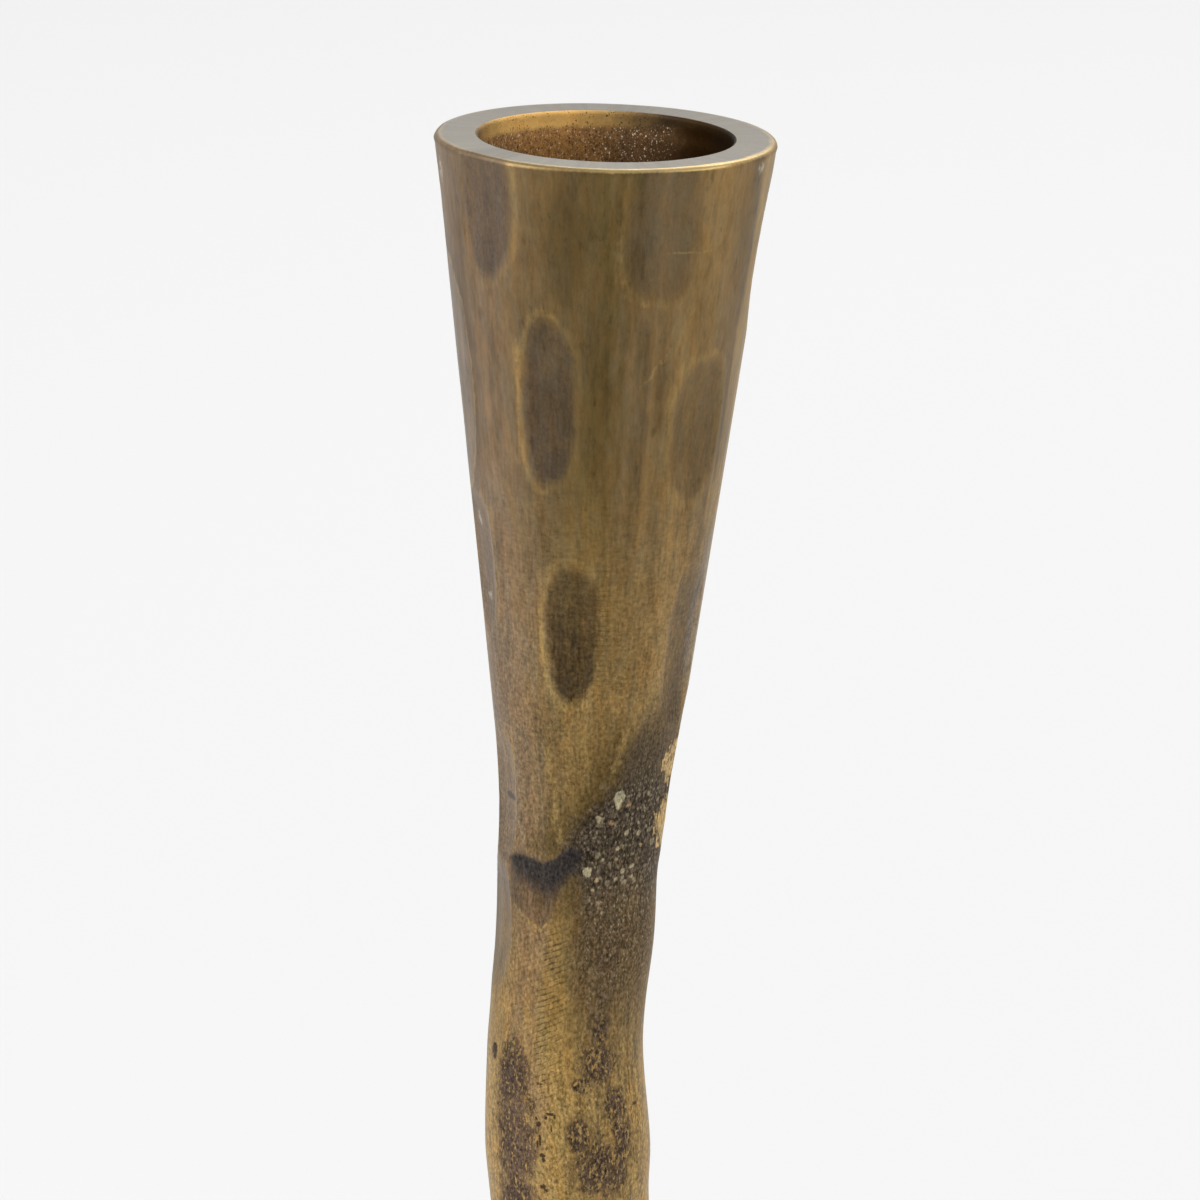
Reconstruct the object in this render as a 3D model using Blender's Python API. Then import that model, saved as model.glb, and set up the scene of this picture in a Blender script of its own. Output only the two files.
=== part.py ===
"""Altar candlestick: a hammered brass candle cup brazed to a wavy forged stem on a domed foot.

Metres and degrees, +Z up. The origin is the centre of the felt's underside, which stands on the table.
The front is -Y, and the cup leans a little towards +X. Bearings run from the front towards +X.
"""

import math

import bmesh
import bpy
from mathutils import Matrix, Vector

# Overall
HEIGHT = 0.300
RIM_OFFSET = 0.0012
FIT_GAP = 0.0003

# Candle cup
CUP_LENGTH = 0.066
CUP_LEAN = 1.7
NECK_LENGTH = 0.0034
NECK_DIAMETER = 0.0144
NECK_BLEND = 0.0003
NECK_SWEEP = 0.00057
NECK_SWEEP_LENGTH = 0.012
RIM_WALL = 0.0039
RIM_EASE = 0.0005
BORE_DIAMETER = 0.0225
BORE_DEPTH = 0.024
BORE_EASE = 0.0003
FLOOR_WALL = 0.0017
MOUTH_BAND = 0.0018
MOUTH_STEP = 0.00025

# Joint between cup and stem: a hidden stud and a brazed groove
STUD_DIAMETER = 0.008
STUD_LENGTH = 0.022
STUD_EASE = 0.0008
SEAM_WIDTH = 0.0026
SEAM_DEPTH = 0.0013
SEAM_CROWN = 0.0001

# Stem
STEM_FOOT_DIAMETER = 0.016
STEM_SWAY = 0.003

# Foot
FOOT_DIAMETER = 0.104
FOOT_EDGE = 0.0075
FOOT_EDGE_ROUND = 0.0022
FOOT_UNDER_EASE = 0.0006
FOOT_WEB = 0.0045
SEAT_DEPTH = 0.002
FILLET_REACH = 0.0032
FILLET_HEIGHT = 0.0034
FILLET_LIP = 0.0004

# Foot screw and washers
SCREW_DIAMETER = 0.008
SCREW_LENGTH = 0.024
SCREW_EASE = 0.0008
SCREW_CLEARANCE = 0.0005
SCREW_HEAD_DIAMETER = 0.013
SCREW_HEAD_HEIGHT = 0.005
HEX_ACROSS_FLATS = 0.005
HEX_DEPTH = 0.0028
SPRING_WASHER_DIAMETER = 0.0148
SPRING_WASHER_THICKNESS = 0.002
SPRING_WASHER_SPLIT = 12.0
SPRING_WASHER_SLANT = 14.0
WASHER_DIAMETER = 0.016
WASHER_THICKNESS = 0.0016
WASHER_EASE = 0.0003

# Felt
FELT_THICKNESS = 0.002
FELT_RECESS = 0.001
FELT_MARGIN = 0.004
FELT_ROUND = 0.0004

# Hammer marks: width, length and depth of a full-size one
DENT_WIDTH = 0.006
DENT_LENGTH = 0.015
DENT_DEPTH = 0.00045

# On the cup: bearing, share of the cup's length below the rim, and width and length against a full-size mark
CUP_DENTS = (
    (-46.0, 0.06, 1.15, 1.00),
    (22.5, 0.08, 1.35, 0.95),
    (-21.0, 0.33, 0.95, 1.05),
    (48.0, 0.39, 1.25, 0.90),
    (-70.0, 0.575, 1.00, 0.87),
    (-9.6, 0.65, 0.87, 0.87),
    (61.0, 0.68, 1.00, 1.07),
    (-26.6, 0.88, 1.07, 0.90),
    (51.0, 0.865, 1.30, 0.87),
    (-69.0, 0.90, 0.80, 0.80),
    (92.0, 0.15, 1.20, 1.00),
    (104.0, 0.52, 1.00, 0.95),
    (96.0, 0.84, 0.95, 0.85),
    (136.0, 0.32, 1.15, 1.00),
    (150.0, 0.68, 0.95, 0.95),
    (172.0, 0.10, 1.25, 0.95),
    (-168.0, 0.44, 1.05, 1.00),
    (-160.0, 0.83, 1.00, 0.85),
    (-136.0, 0.22, 1.20, 0.95),
    (-122.0, 0.60, 1.00, 0.95),
    (-98.0, 0.10, 1.20, 0.90),
    (-100.0, 0.38, 1.05, 0.90),
    (-108.0, 0.90, 0.90, 0.75),
)

# Along the stem from foot to cup: share of its length, sway right, sway back, swell
STEM_STATIONS = (
    (0.00, 0.00, 0.00, 1.000),
    (0.06, 0.00, 0.00, 0.990),
    (0.15, -0.15, 0.40, 0.960),
    (0.25, -0.65, 0.20, 0.970),
    (0.35, -0.90, -0.45, 1.030),
    (0.44, -0.38, -0.75, 0.970),
    (0.53, 0.50, -0.40, 1.030),
    (0.63, 0.95, 0.20, 0.960),
    (0.72, 0.62, 0.60, 1.020),
    (0.80, -0.05, 0.55, 0.950),
    (0.858, -0.31, 0.35, 0.985),
    (0.88, -0.345, 0.25, 1.020),
    (0.92, -0.425, 0.15, 0.968),
    (0.94, -0.33, 0.10, 0.958),
    (0.97, -0.10, 0.04, 0.985),
    (1.00, 0.00, 0.00, 1.000),
)
STEM_DENT_COUNT = 17
STEM_DENT_TURN = 137.5
STEM_DENT_SPAN = (0.09, 0.95)

# Rows of hammer marks on the foot: marks in the row, share of the way out, width and length as above
FOOT_DENT_ROWS = ((11, 0.34, 1.35, 0.80), (15, 0.62, 1.60, 0.85), (19, 0.88, 1.60, 0.70))

# Facets
CUP_SEGMENTS = 60
CUP_ROWS = 32
STEM_SEGMENTS = 32
STEM_ROWS = 50
FOOT_SEGMENTS = 64
FOOT_ROWS = 11
SMALL_SEGMENTS = 32
ROUND_STEPS = 4
SHARP_ANGLE = 40.0

# Sizes and levels that follow from the ones above
BORE_RADIUS = BORE_DIAMETER / 2
RIM_RADIUS = BORE_RADIUS + RIM_WALL
NECK_RADIUS = NECK_DIAMETER / 2
STUD_HOLE_RADIUS = STUD_DIAMETER / 2 + FIT_GAP
STUD_HOLE_DEPTH = STUD_LENGTH / 2 + FIT_GAP
SCREW_HOLE_RADIUS = SCREW_DIAMETER / 2 + FIT_GAP
STEM_FOOT_RADIUS = STEM_FOOT_DIAMETER / 2
SOCKET_RADIUS = STEM_FOOT_RADIUS + FIT_GAP
FOOT_RADIUS = FOOT_DIAMETER / 2
FELT_RADIUS = FOOT_RADIUS - FELT_MARGIN

RECESS_Z = FELT_THICKNESS + FIT_GAP
UNDERSIDE_Z = RECESS_Z - FELT_RECESS
HEAD_TOP_Z = RECESS_Z + SCREW_HEAD_HEIGHT
SPRING_WASHER_Z = HEAD_TOP_Z + FIT_GAP
WASHER_Z = SPRING_WASHER_Z + SPRING_WASHER_THICKNESS + FIT_GAP
WEB_Z = WASHER_Z + WASHER_THICKNESS + FIT_GAP
SEAT_Z = WEB_Z + FOOT_WEB
STEM_END_Z = SEAT_Z + FIT_GAP
CROWN_Z = SEAT_Z + SEAT_DEPTH
EDGE_Z = UNDERSIDE_Z + FOOT_EDGE
SCREW_TIP_Z = HEAD_TOP_Z + SCREW_LENGTH

CUP_FRAME = Matrix.Translation((RIM_OFFSET, 0, HEIGHT)) @ Matrix.Rotation(math.radians(CUP_LEAN), 4, "Y")
JOINT_IN_CUP = Vector((-NECK_SWEEP, 0, -CUP_LENGTH))
JOINT = CUP_FRAME @ JOINT_IN_CUP


# Modelling helpers


def clear_scene():
    for obj in list(bpy.data.objects):
        bpy.data.objects.remove(obj)


def smooth_step(share):
    share = min(max(share, 0.0), 1.0)
    return share * share * (3 - 2 * share)


def outward(angle):
    """The unit vector at an angle from the front towards +X."""
    return Vector((math.sin(angle), -math.cos(angle), 0))


def angles(count):
    return [2 * math.pi * i / count for i in range(count)]


def turned_ring(radius, z, count, centre=(0, 0)):
    return [outward(a) * radius + Vector((*centre, z)) for a in angles(count)]


def arc(centre_r, centre_z, radius, start, end):
    """Points (r, z) of an arc in the profile plane, between two angles in degrees from +r towards +z."""
    turns = [start + (end - start) * i / ROUND_STEPS for i in range(ROUND_STEPS + 1)]
    return [
        (centre_r + radius * math.cos(math.radians(t)), centre_z + radius * math.sin(math.radians(t)))
        for t in turns
    ]


def through_stations(stations, share, column):
    """A smooth curve through one column of the stations, read at a share of the length."""
    last = len(stations) - 1
    k = max(i for i in range(last) if stations[i][0] <= share or i == 0)

    def slope(i):
        low, high = stations[max(i - 1, 0)], stations[min(i + 1, last)]
        return (high[column] - low[column]) / (high[0] - low[0])

    left, right = stations[k], stations[k + 1]
    span = right[0] - left[0]
    u = (share - left[0]) / span
    return (
        left[column] * (1 + 2 * u) * (1 - u) ** 2
        + right[column] * u * u * (3 - 2 * u)
        + span * slope(k) * u * (1 - u) ** 2
        - span * slope(k + 1) * u * u * (1 - u)
    )


def dent_depth(across, along, dents):
    """The deepest hammer mark at a point. A mark is a distance across, a place along and two half sizes."""
    deepest = 0.0
    for offset, place, half_width, half_length in dents:
        u = offset(across) / half_width
        v = (along - place) / half_length
        deepest = max(deepest, DENT_DEPTH * (1 - u * u - v * v))
    return deepest


def round_offset(bearing, radius):
    """Distance round a body of this radius from a bearing, both angles in radians."""

    def offset(angle):
        return radius * math.remainder(angle - bearing, 2 * math.pi)

    return offset


def lofted(name, rings, finish, closed=False):
    """One solid skinned over rings of equal count, the outside from top to bottom. Open lofts get flat ends."""
    mesh = bpy.data.meshes.new(name)
    bm = bmesh.new()
    loops = [[bm.verts.new(p) for p in ring] for ring in rings]
    pairs = list(zip(loops, loops[1:]))
    if closed:
        pairs.append((loops[-1], loops[0]))
    else:
        bm.faces.new(loops[0])
        bm.faces.new(loops[-1][::-1])
    for upper, lower in pairs:
        for i, start in enumerate(upper):
            j = (i + 1) % len(upper)
            bm.faces.new((start, lower[i], lower[j], upper[j]))
    bmesh.ops.recalc_face_normals(bm, faces=bm.faces)
    bm.to_mesh(mesh)
    bm.free()
    mesh.shade_smooth()
    mesh.set_sharp_from_angle(angle=math.radians(SHARP_ANGLE))
    mesh.materials.append(finish)
    obj = bpy.data.objects.new(name, mesh)
    bpy.context.scene.collection.objects.link(obj)
    return obj


def turned(name, profile, finish, closed=True, count=SMALL_SEGMENTS, centre=(0, 0)):
    rings = [turned_ring(r, z, count, centre) for r, z in profile]
    return lofted(name, rings, finish, closed)


def finish_of(name, colour, roughness, metallic):
    material = bpy.data.materials.new(name)
    material.use_nodes = True
    shader = material.node_tree.nodes["Principled BSDF"]
    shader.inputs["Base Color"].default_value = (*colour, 1)
    shader.inputs["Roughness"].default_value = roughness
    shader.inputs["Metallic"].default_value = metallic
    material.diffuse_color = (*colour, 1)
    return material


# Candle cup


def cup_radius(depth):
    """Outer radius at a depth below the rim: a straight taper that eases into the neck."""
    taper_length = CUP_LENGTH - NECK_LENGTH
    cone = RIM_RADIUS - (RIM_RADIUS - NECK_RADIUS) * depth / taper_length
    return NECK_RADIUS + NECK_BLEND * math.log1p(math.exp((cone - NECK_RADIUS) / NECK_BLEND))


def cup_centre(depth):
    """The neck sweeps a little to the left before it meets the stem."""
    start = CUP_LENGTH - NECK_SWEEP_LENGTH
    share = max(depth - start, 0.0) / NECK_SWEEP_LENGTH
    return -NECK_SWEEP * share**1.5, 0.0


def cup_dents():
    for bearing, place, width, length in CUP_DENTS:
        depth = place * CUP_LENGTH
        offset = round_offset(math.radians(bearing), cup_radius(depth))
        yield offset, depth, DENT_WIDTH * width / 2, DENT_LENGTH * length / 2


def hammered_cup_ring(depth, inset, dents, level=None):
    """A ring of the cup's outside with its hammer marks, drawn in by inset and lying at a level."""
    level = depth if level is None else level
    centre = Vector((*cup_centre(depth), -level))
    radius = cup_radius(depth) - inset
    return [
        centre + outward(a) * (radius - dent_depth(a, depth, dents)) for a in angles(CUP_SEGMENTS)
    ]


def candle_cup(frame, brass):
    dents = list(cup_dents())
    floor_radius = min(cup_radius(BORE_DEPTH) - FLOOR_WALL, BORE_RADIUS - MOUTH_STEP)
    bore = [
        (floor_radius, -BORE_DEPTH),
        (BORE_RADIUS - MOUTH_STEP, -MOUTH_BAND - MOUTH_STEP),
        (BORE_RADIUS, -MOUTH_BAND),
        (BORE_RADIUS, -BORE_EASE),
        (BORE_RADIUS + BORE_EASE, 0),
    ]
    rings = [turned_ring(r, z, CUP_SEGMENTS) for r, z in bore]
    rings.append(hammered_cup_ring(RIM_EASE, RIM_EASE, dents, level=0))

    groove_start = CUP_LENGTH - SEAM_WIDTH / 2
    for i in range(CUP_ROWS + 1):
        depth = RIM_EASE + (groove_start - RIM_EASE) * i / CUP_ROWS
        rings.append(hammered_cup_ring(depth, 0, dents))

    base_z = -CUP_LENGTH + FIT_GAP / 2
    centre = cup_centre(CUP_LENGTH)
    rings.append(turned_ring(cup_radius(CUP_LENGTH) - SEAM_DEPTH, base_z, CUP_SEGMENTS, centre))
    rings.append(turned_ring(STUD_HOLE_RADIUS, base_z, CUP_SEGMENTS, centre))
    rings.append(turned_ring(STUD_HOLE_RADIUS, -CUP_LENGTH + STUD_HOLE_DEPTH, CUP_SEGMENTS, centre))
    lofted("candle_cup", rings, brass).parent = frame


# Joint between cup and stem


def cup_stud(frame, steel):
    radius = STUD_DIAMETER / 2
    top = JOINT_IN_CUP.z + STUD_LENGTH / 2
    bottom = JOINT_IN_CUP.z - STUD_LENGTH / 2
    profile = [
        (radius - STUD_EASE, top),
        (radius, top - STUD_EASE),
        (radius, bottom + STUD_EASE),
        (radius - STUD_EASE, bottom),
    ]
    turned("cup_stud", profile, steel, closed=False, centre=JOINT_IN_CUP.xy).parent = frame


def cup_seam(frame, braze):
    """The bead of brazing metal that fills the groove flush with the neck."""
    radius = cup_radius(CUP_LENGTH)
    half_width = SEAM_WIDTH / 2 - 1.5 * FIT_GAP
    z = JOINT_IN_CUP.z
    profile = [
        (radius, z + half_width),
        (radius + SEAM_CROWN, z),
        (radius, z - half_width),
        (radius - SEAM_DEPTH + 2 * FIT_GAP, z),
    ]
    turned("cup_seam", profile, braze, count=CUP_SEGMENTS, centre=JOINT_IN_CUP.xy).parent = frame


# Stem


def stem_radius(share):
    joint_radius = cup_radius(CUP_LENGTH)
    straight = STEM_FOOT_RADIUS + (joint_radius - STEM_FOOT_RADIUS) * share
    return straight * through_stations(STEM_STATIONS, share, 3)


def stem_frame(share):
    """Where the stem's middle is at a share of its length, turned to face along it."""
    foot = Vector((0, 0, STEM_END_Z))
    sway = Vector((through_stations(STEM_STATIONS, share, 1), through_stations(STEM_STATIONS, share, 2), 0))
    middle = foot.lerp(JOINT, share) + sway * STEM_SWAY
    return Matrix.Translation(middle) @ Matrix.Rotation(math.radians(CUP_LEAN) * share, 4, "Y")


def stem_dents(length):
    low, high = STEM_DENT_SPAN
    for i in range(STEM_DENT_COUNT):
        share = low + (high - low) * i / (STEM_DENT_COUNT - 1)
        offset = round_offset(math.radians(STEM_DENT_TURN * i), stem_radius(share))
        yield offset, share * length, DENT_WIDTH / 2, DENT_LENGTH / 2


def stem_ring(share, inset, lift, count=STEM_SEGMENTS, dents=(), length=0.0):
    frame = stem_frame(share)
    radius = stem_radius(share) - inset
    return [
        frame @ (outward(a) * (radius - dent_depth(a, share * length, dents)) + Vector((0, 0, lift)))
        for a in angles(count)
    ]


def stem(brass):
    length = (JOINT - Vector((0, 0, STEM_END_Z))).length
    dents = list(stem_dents(length))
    stud_inset = stem_radius(1) - STUD_HOLE_RADIUS
    top = -FIT_GAP / 2
    rings = [
        stem_ring(1, stud_inset, -STUD_HOLE_DEPTH),
        stem_ring(1, stud_inset, top),
        stem_ring(1, SEAM_DEPTH, top),
    ]
    last = 1 - SEAM_WIDTH / 2 / length
    for i in range(STEM_ROWS + 1):
        rings.append(stem_ring(last * (1 - i / STEM_ROWS), 0, 0, dents=dents, length=length))
    rings.append(turned_ring(SCREW_HOLE_RADIUS, STEM_END_Z, STEM_SEGMENTS))
    rings.append(turned_ring(SCREW_HOLE_RADIUS, SCREW_TIP_Z + FIT_GAP, STEM_SEGMENTS))
    lofted("stem", rings, brass)


# Foot


def dome_z(radius):
    """Height of the foot's top: level round the stem, then an easy bell down to the edge."""
    level_radius = SOCKET_RADIUS + FILLET_REACH
    share = (radius - level_radius) / (FOOT_RADIUS - FOOT_EDGE_ROUND - level_radius)
    return EDGE_Z + (CROWN_Z - EDGE_Z) * (1 - smooth_step(share))


def foot_dents():
    for row, (count, place, width, length) in enumerate(FOOT_DENT_ROWS):
        radius = place * FOOT_RADIUS
        for i in range(count):
            bearing = 2 * math.pi * (i + row / 2) / count
            offset = round_offset(bearing, radius)
            yield offset, radius, DENT_WIDTH * width / 2, DENT_LENGTH * length / 2


def foot(brass):
    dents = list(foot_dents())
    level_radius = SOCKET_RADIUS + FILLET_REACH
    rim_start = FOOT_RADIUS - FOOT_EDGE_ROUND
    rings = [turned_ring(SOCKET_RADIUS, CROWN_Z, FOOT_SEGMENTS)]
    for i in range(FOOT_ROWS + 1):
        radius = level_radius + (rim_start - level_radius) * i / FOOT_ROWS
        flat = turned_ring(radius, dome_z(radius), FOOT_SEGMENTS)
        drops = [dent_depth(a, radius, dents) for a in angles(FOOT_SEGMENTS)]
        rings.append([p - Vector((0, 0, drop)) for p, drop in zip(flat, drops)])

    edge = arc(rim_start, EDGE_Z - FOOT_EDGE_ROUND, FOOT_EDGE_ROUND, 90, 0)[1:]
    counterbore_radius = WASHER_DIAMETER / 2 + FIT_GAP
    hole_radius = SCREW_DIAMETER / 2 + SCREW_CLEARANCE
    underside = [
        (FOOT_RADIUS, UNDERSIDE_Z + FOOT_UNDER_EASE),
        (FOOT_RADIUS - FOOT_UNDER_EASE, UNDERSIDE_Z),
        (FELT_RADIUS + FIT_GAP, UNDERSIDE_Z),
        (FELT_RADIUS + FIT_GAP, RECESS_Z),
        (counterbore_radius, RECESS_Z),
        (counterbore_radius, WEB_Z),
        (hole_radius, WEB_Z),
        (hole_radius, SEAT_Z),
        (SOCKET_RADIUS, SEAT_Z),
    ]
    rings += [turned_ring(r, z, FOOT_SEGMENTS) for r, z in edge + underside]
    lofted("foot", rings, brass, closed=True)


def foot_seam(braze):
    """The hollow fillet of brazing metal round the bottom of the stem."""
    inner = SOCKET_RADIUS
    base_z = CROWN_Z + FIT_GAP
    hollow = []
    for i in range(ROUND_STEPS + 1):
        turn = math.pi / 2 * i / ROUND_STEPS
        reach = FILLET_REACH * (1 - math.cos(turn))
        rise = (FILLET_HEIGHT - FILLET_LIP) * (1 - math.sin(turn))
        hollow.append((inner + FILLET_LIP + reach - FILLET_LIP * i / ROUND_STEPS, base_z + FILLET_LIP + rise))
    profile = [(inner, base_z + FILLET_HEIGHT)] + hollow + [(inner + FILLET_REACH, base_z), (inner, base_z)]
    turned("foot_seam", profile, braze, count=STEM_SEGMENTS)


# Foot screw, washers and felt


def hex_cutter():
    mesh = bpy.data.meshes.new("hex_cutter")
    bm = bmesh.new()
    bmesh.ops.create_cone(
        bm,
        cap_ends=True,
        segments=6,
        radius1=HEX_ACROSS_FLATS / math.sqrt(3),
        radius2=HEX_ACROSS_FLATS / math.sqrt(3),
        depth=2 * HEX_DEPTH,
        matrix=Matrix.Translation((0, 0, RECESS_Z)),
    )
    bm.to_mesh(mesh)
    bm.free()
    cutter = bpy.data.objects.new("hex_cutter", mesh)
    bpy.context.scene.collection.objects.link(cutter)
    cutter.hide_render = True
    cutter.display_type = "WIRE"
    return cutter


def foot_screw(steel):
    radius = SCREW_DIAMETER / 2
    head_radius = SCREW_HEAD_DIAMETER / 2
    profile = [
        (radius - SCREW_EASE, SCREW_TIP_Z),
        (radius, SCREW_TIP_Z - SCREW_EASE),
        (radius, HEAD_TOP_Z),
        (head_radius, HEAD_TOP_Z),
        (head_radius, RECESS_Z + WASHER_EASE),
        (head_radius - WASHER_EASE, RECESS_Z),
    ]
    screw = turned("foot_screw", profile, steel, closed=False)
    socket = screw.modifiers.new("hex_socket", "BOOLEAN")
    socket.object = hex_cutter()


def spring_washer(steel):
    """A split ring of square section, with its two ends cut on a slant."""
    inner = SCREW_DIAMETER / 2 + FIT_GAP
    outer = SPRING_WASHER_DIAMETER / 2
    bottom = SPRING_WASHER_Z
    top = bottom + SPRING_WASHER_THICKNESS
    sweep = 360 - SPRING_WASHER_SPLIT
    sections = []
    for i in range(SMALL_SEGMENTS + 1):
        turn = SPRING_WASHER_SPLIT / 2 + sweep * i / SMALL_SEGMENTS
        section = []
        for radius, z in ((inner, top), (outer, top), (outer, bottom), (inner, bottom)):
            lead = SPRING_WASHER_SLANT / 2 if z == top else -SPRING_WASHER_SLANT / 2
            section.append(outward(math.radians(turn + lead)) * radius + Vector((0, 0, z)))
        sections.append(section)
    lofted("spring_washer", sections, steel)


def plain_washer(steel):
    inner = SCREW_DIAMETER / 2 + FIT_GAP
    outer = WASHER_DIAMETER / 2
    top = WASHER_Z + WASHER_THICKNESS
    profile = [
        (inner, top),
        (outer - WASHER_EASE, top),
        (outer, top - WASHER_EASE),
        (outer, WASHER_Z),
        (inner, WASHER_Z),
    ]
    turned("plain_washer", profile, steel)


def felt_pad(felt):
    edge = arc(FELT_RADIUS - FELT_ROUND, FELT_ROUND, FELT_ROUND, 0, -90)
    profile = [(FELT_RADIUS, FELT_THICKNESS)] + edge
    turned("felt_pad", profile, felt, closed=False, count=FOOT_SEGMENTS)


def main():
    clear_scene()
    cup_frame = bpy.data.objects.new("cup_frame", None)
    cup_frame.matrix_world = CUP_FRAME
    bpy.context.scene.collection.objects.link(cup_frame)

    candle_cup(cup_frame, finish_of("cup_brass", (0.20, 0.135, 0.065), 0.42, 1.0))
    cup_stud(cup_frame, finish_of("stud_steel", (0.42, 0.42, 0.43), 0.40, 1.0))
    cup_seam(cup_frame, finish_of("scorched_braze", (0.045, 0.04, 0.04), 0.60, 0.8))
    stem(finish_of("stem_brass", (0.25, 0.165, 0.07), 0.45, 1.0))
    foot(finish_of("foot_brass", (0.22, 0.145, 0.065), 0.45, 1.0))
    foot_seam(finish_of("foot_braze", (0.16, 0.105, 0.05), 0.55, 1.0))
    foot_screw(finish_of("screw_zinc", (0.48, 0.48, 0.50), 0.32, 1.0))
    spring_washer(finish_of("spring_steel", (0.30, 0.30, 0.31), 0.45, 1.0))
    plain_washer(finish_of("washer_zinc", (0.50, 0.50, 0.51), 0.35, 1.0))
    felt_pad(finish_of("black_felt", (0.02, 0.02, 0.022), 0.95, 0.0))


main()
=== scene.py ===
"""Looks of the hammered brass altar candlestick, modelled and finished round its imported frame."""

import math

import bpy
import numpy as np
from mathutils import Matrix, Vector


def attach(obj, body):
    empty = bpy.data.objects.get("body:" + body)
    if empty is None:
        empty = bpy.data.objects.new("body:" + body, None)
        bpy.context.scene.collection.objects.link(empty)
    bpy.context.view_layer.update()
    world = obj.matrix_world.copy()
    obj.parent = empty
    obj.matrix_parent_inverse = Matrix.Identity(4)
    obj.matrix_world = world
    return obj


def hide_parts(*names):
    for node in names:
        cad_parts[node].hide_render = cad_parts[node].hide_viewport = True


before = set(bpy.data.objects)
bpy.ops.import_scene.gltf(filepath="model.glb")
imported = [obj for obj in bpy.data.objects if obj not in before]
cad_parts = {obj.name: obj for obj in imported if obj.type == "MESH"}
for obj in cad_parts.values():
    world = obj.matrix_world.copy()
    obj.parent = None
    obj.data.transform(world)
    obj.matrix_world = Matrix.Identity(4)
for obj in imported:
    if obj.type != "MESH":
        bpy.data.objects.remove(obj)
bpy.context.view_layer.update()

MM = 0.001
WELD = 0.002 * MM
TOUCH = 0.001 * MM
NEAR = 0.01 * MM
WALL_SLACK = 0.05 * MM

# Sizes of the frame, in metres
HEIGHT = 0.3
RIM_OFFSET = 0.0012
CUP_LENGTH = 0.066
CUP_LEAN = math.radians(1.7)
NECK_LENGTH = 0.0034
NECK_RADIUS = 0.0072
NECK_BLEND = 0.0003
NECK_SWEEP = 0.00057
NECK_SWEEP_LENGTH = 0.012
RIM_RADIUS = 0.01515
RIM_EASE = 0.0005
BORE_RADIUS = 0.01125
BORE_DEPTH = 0.024
BORE_EASE = 0.0003
BORE_FLOOR_RADIUS = 0.0104
MOUTH_BAND = 0.0018
MOUTH_STEP = 0.00025
STUD_HOLE_RADIUS = 0.0043
STUD_HOLE_DEPTH = 0.0113
SEAM_WIDTH = 0.0026
SEAM_DEPTH = 0.0013
SEAM_LAP = 0.00005
SEAM_GAP = 0.0001
SEAM_PROUD = 0.000008
STEM_END_Z = 0.0166
STEM_FOOT_RADIUS = 0.008
STEM_SWAY = 0.003
SCREW_HOLE_RADIUS = 0.0043
SCREW_HOLE_TOP_Z = 0.0316
FOOT_RADIUS = 0.052
FOOT_EDGE_ROUND = 0.0022
FOOT_UNDER_EASE = 0.0006
SOCKET_RADIUS = 0.0083
SCREW_CLEAR_RADIUS = 0.0045
UNDERSIDE_Z = 0.0013
RECESS_Z = 0.0023
WEB_Z = 0.0118
SEAT_Z = 0.0163
CROWN_Z = 0.0183
EDGE_Z = 0.0088
FILLET_REACH = 0.0032
FILLET_HEIGHT = 0.0034
FILLET_TOP = 0.00025
FILLET_LAP = 0.0001
FELT_RADIUS = 0.048
FELT_THICKNESS = 0.002
RECESS_RADIUS = FELT_RADIUS + 0.0003

CUP_FRAME = Matrix.Translation((RIM_OFFSET, 0, HEIGHT)) @ Matrix.Rotation(CUP_LEAN, 4, "Y")
JOINT = CUP_FRAME @ Vector((-NECK_SWEEP, 0, -CUP_LENGTH))
STEM_LENGTH = (JOINT - Vector((0, 0, STEM_END_Z))).length

# How finely each piece is turned: segments round it, rows along its skin, crease angle in degrees
CUP_SEGMENTS, CUP_ROWS = 400, 180
STEM_SEGMENTS, STEM_ROWS = 208, 430
FOOT_SEGMENTS, FOOT_ROWS = 320, 120
FILLET_SEGMENTS, FILLET_ROWS = 200, 14
FELT_SEGMENTS = 240
METAL_CREASE, BRAZE_CREASE, FELT_CREASE = 35, 40, 60

# How uneven each piece is, and in what waves: turns round the piece, radians per metre along it
CUP_UNEVEN = 0.05 * MM
RIM_UNEVEN = 0.015 * MM
STEM_UNEVEN = 0.09 * MM
FOOT_UNEVEN = 0.04 * MM
EDGE_UNEVEN = 0.002
FILLET_UNEVEN = 0.06 * MM
FELT_UNEVEN = 0.12 * MM
BROAD_WAVES = ((2, 90), (3, -60), (5, 140), (7, -210), (4, 260))
STEM_WAVES = ((2, 120), (3, -190), (5, 260), (4, -330))
EDGE_WAVES = ((6, 150), (9, -300), (14, 500))
FILLET_WAVES = ((7, 400), (11, -900), (18, 1200))
FELT_WAVES = ((17, 900), (29, -1500), (43, 2100), (61, 800))

# Hammer marks
DENT_DEPTH = 0.00045
SQUARENESS = 2.5
INSET_LIMIT = 3
MARK_LOOKS = ("inset", "dark", "grey", "worn")
RIM_REACH = 0.004
RIM_DENT = 0.45
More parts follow.
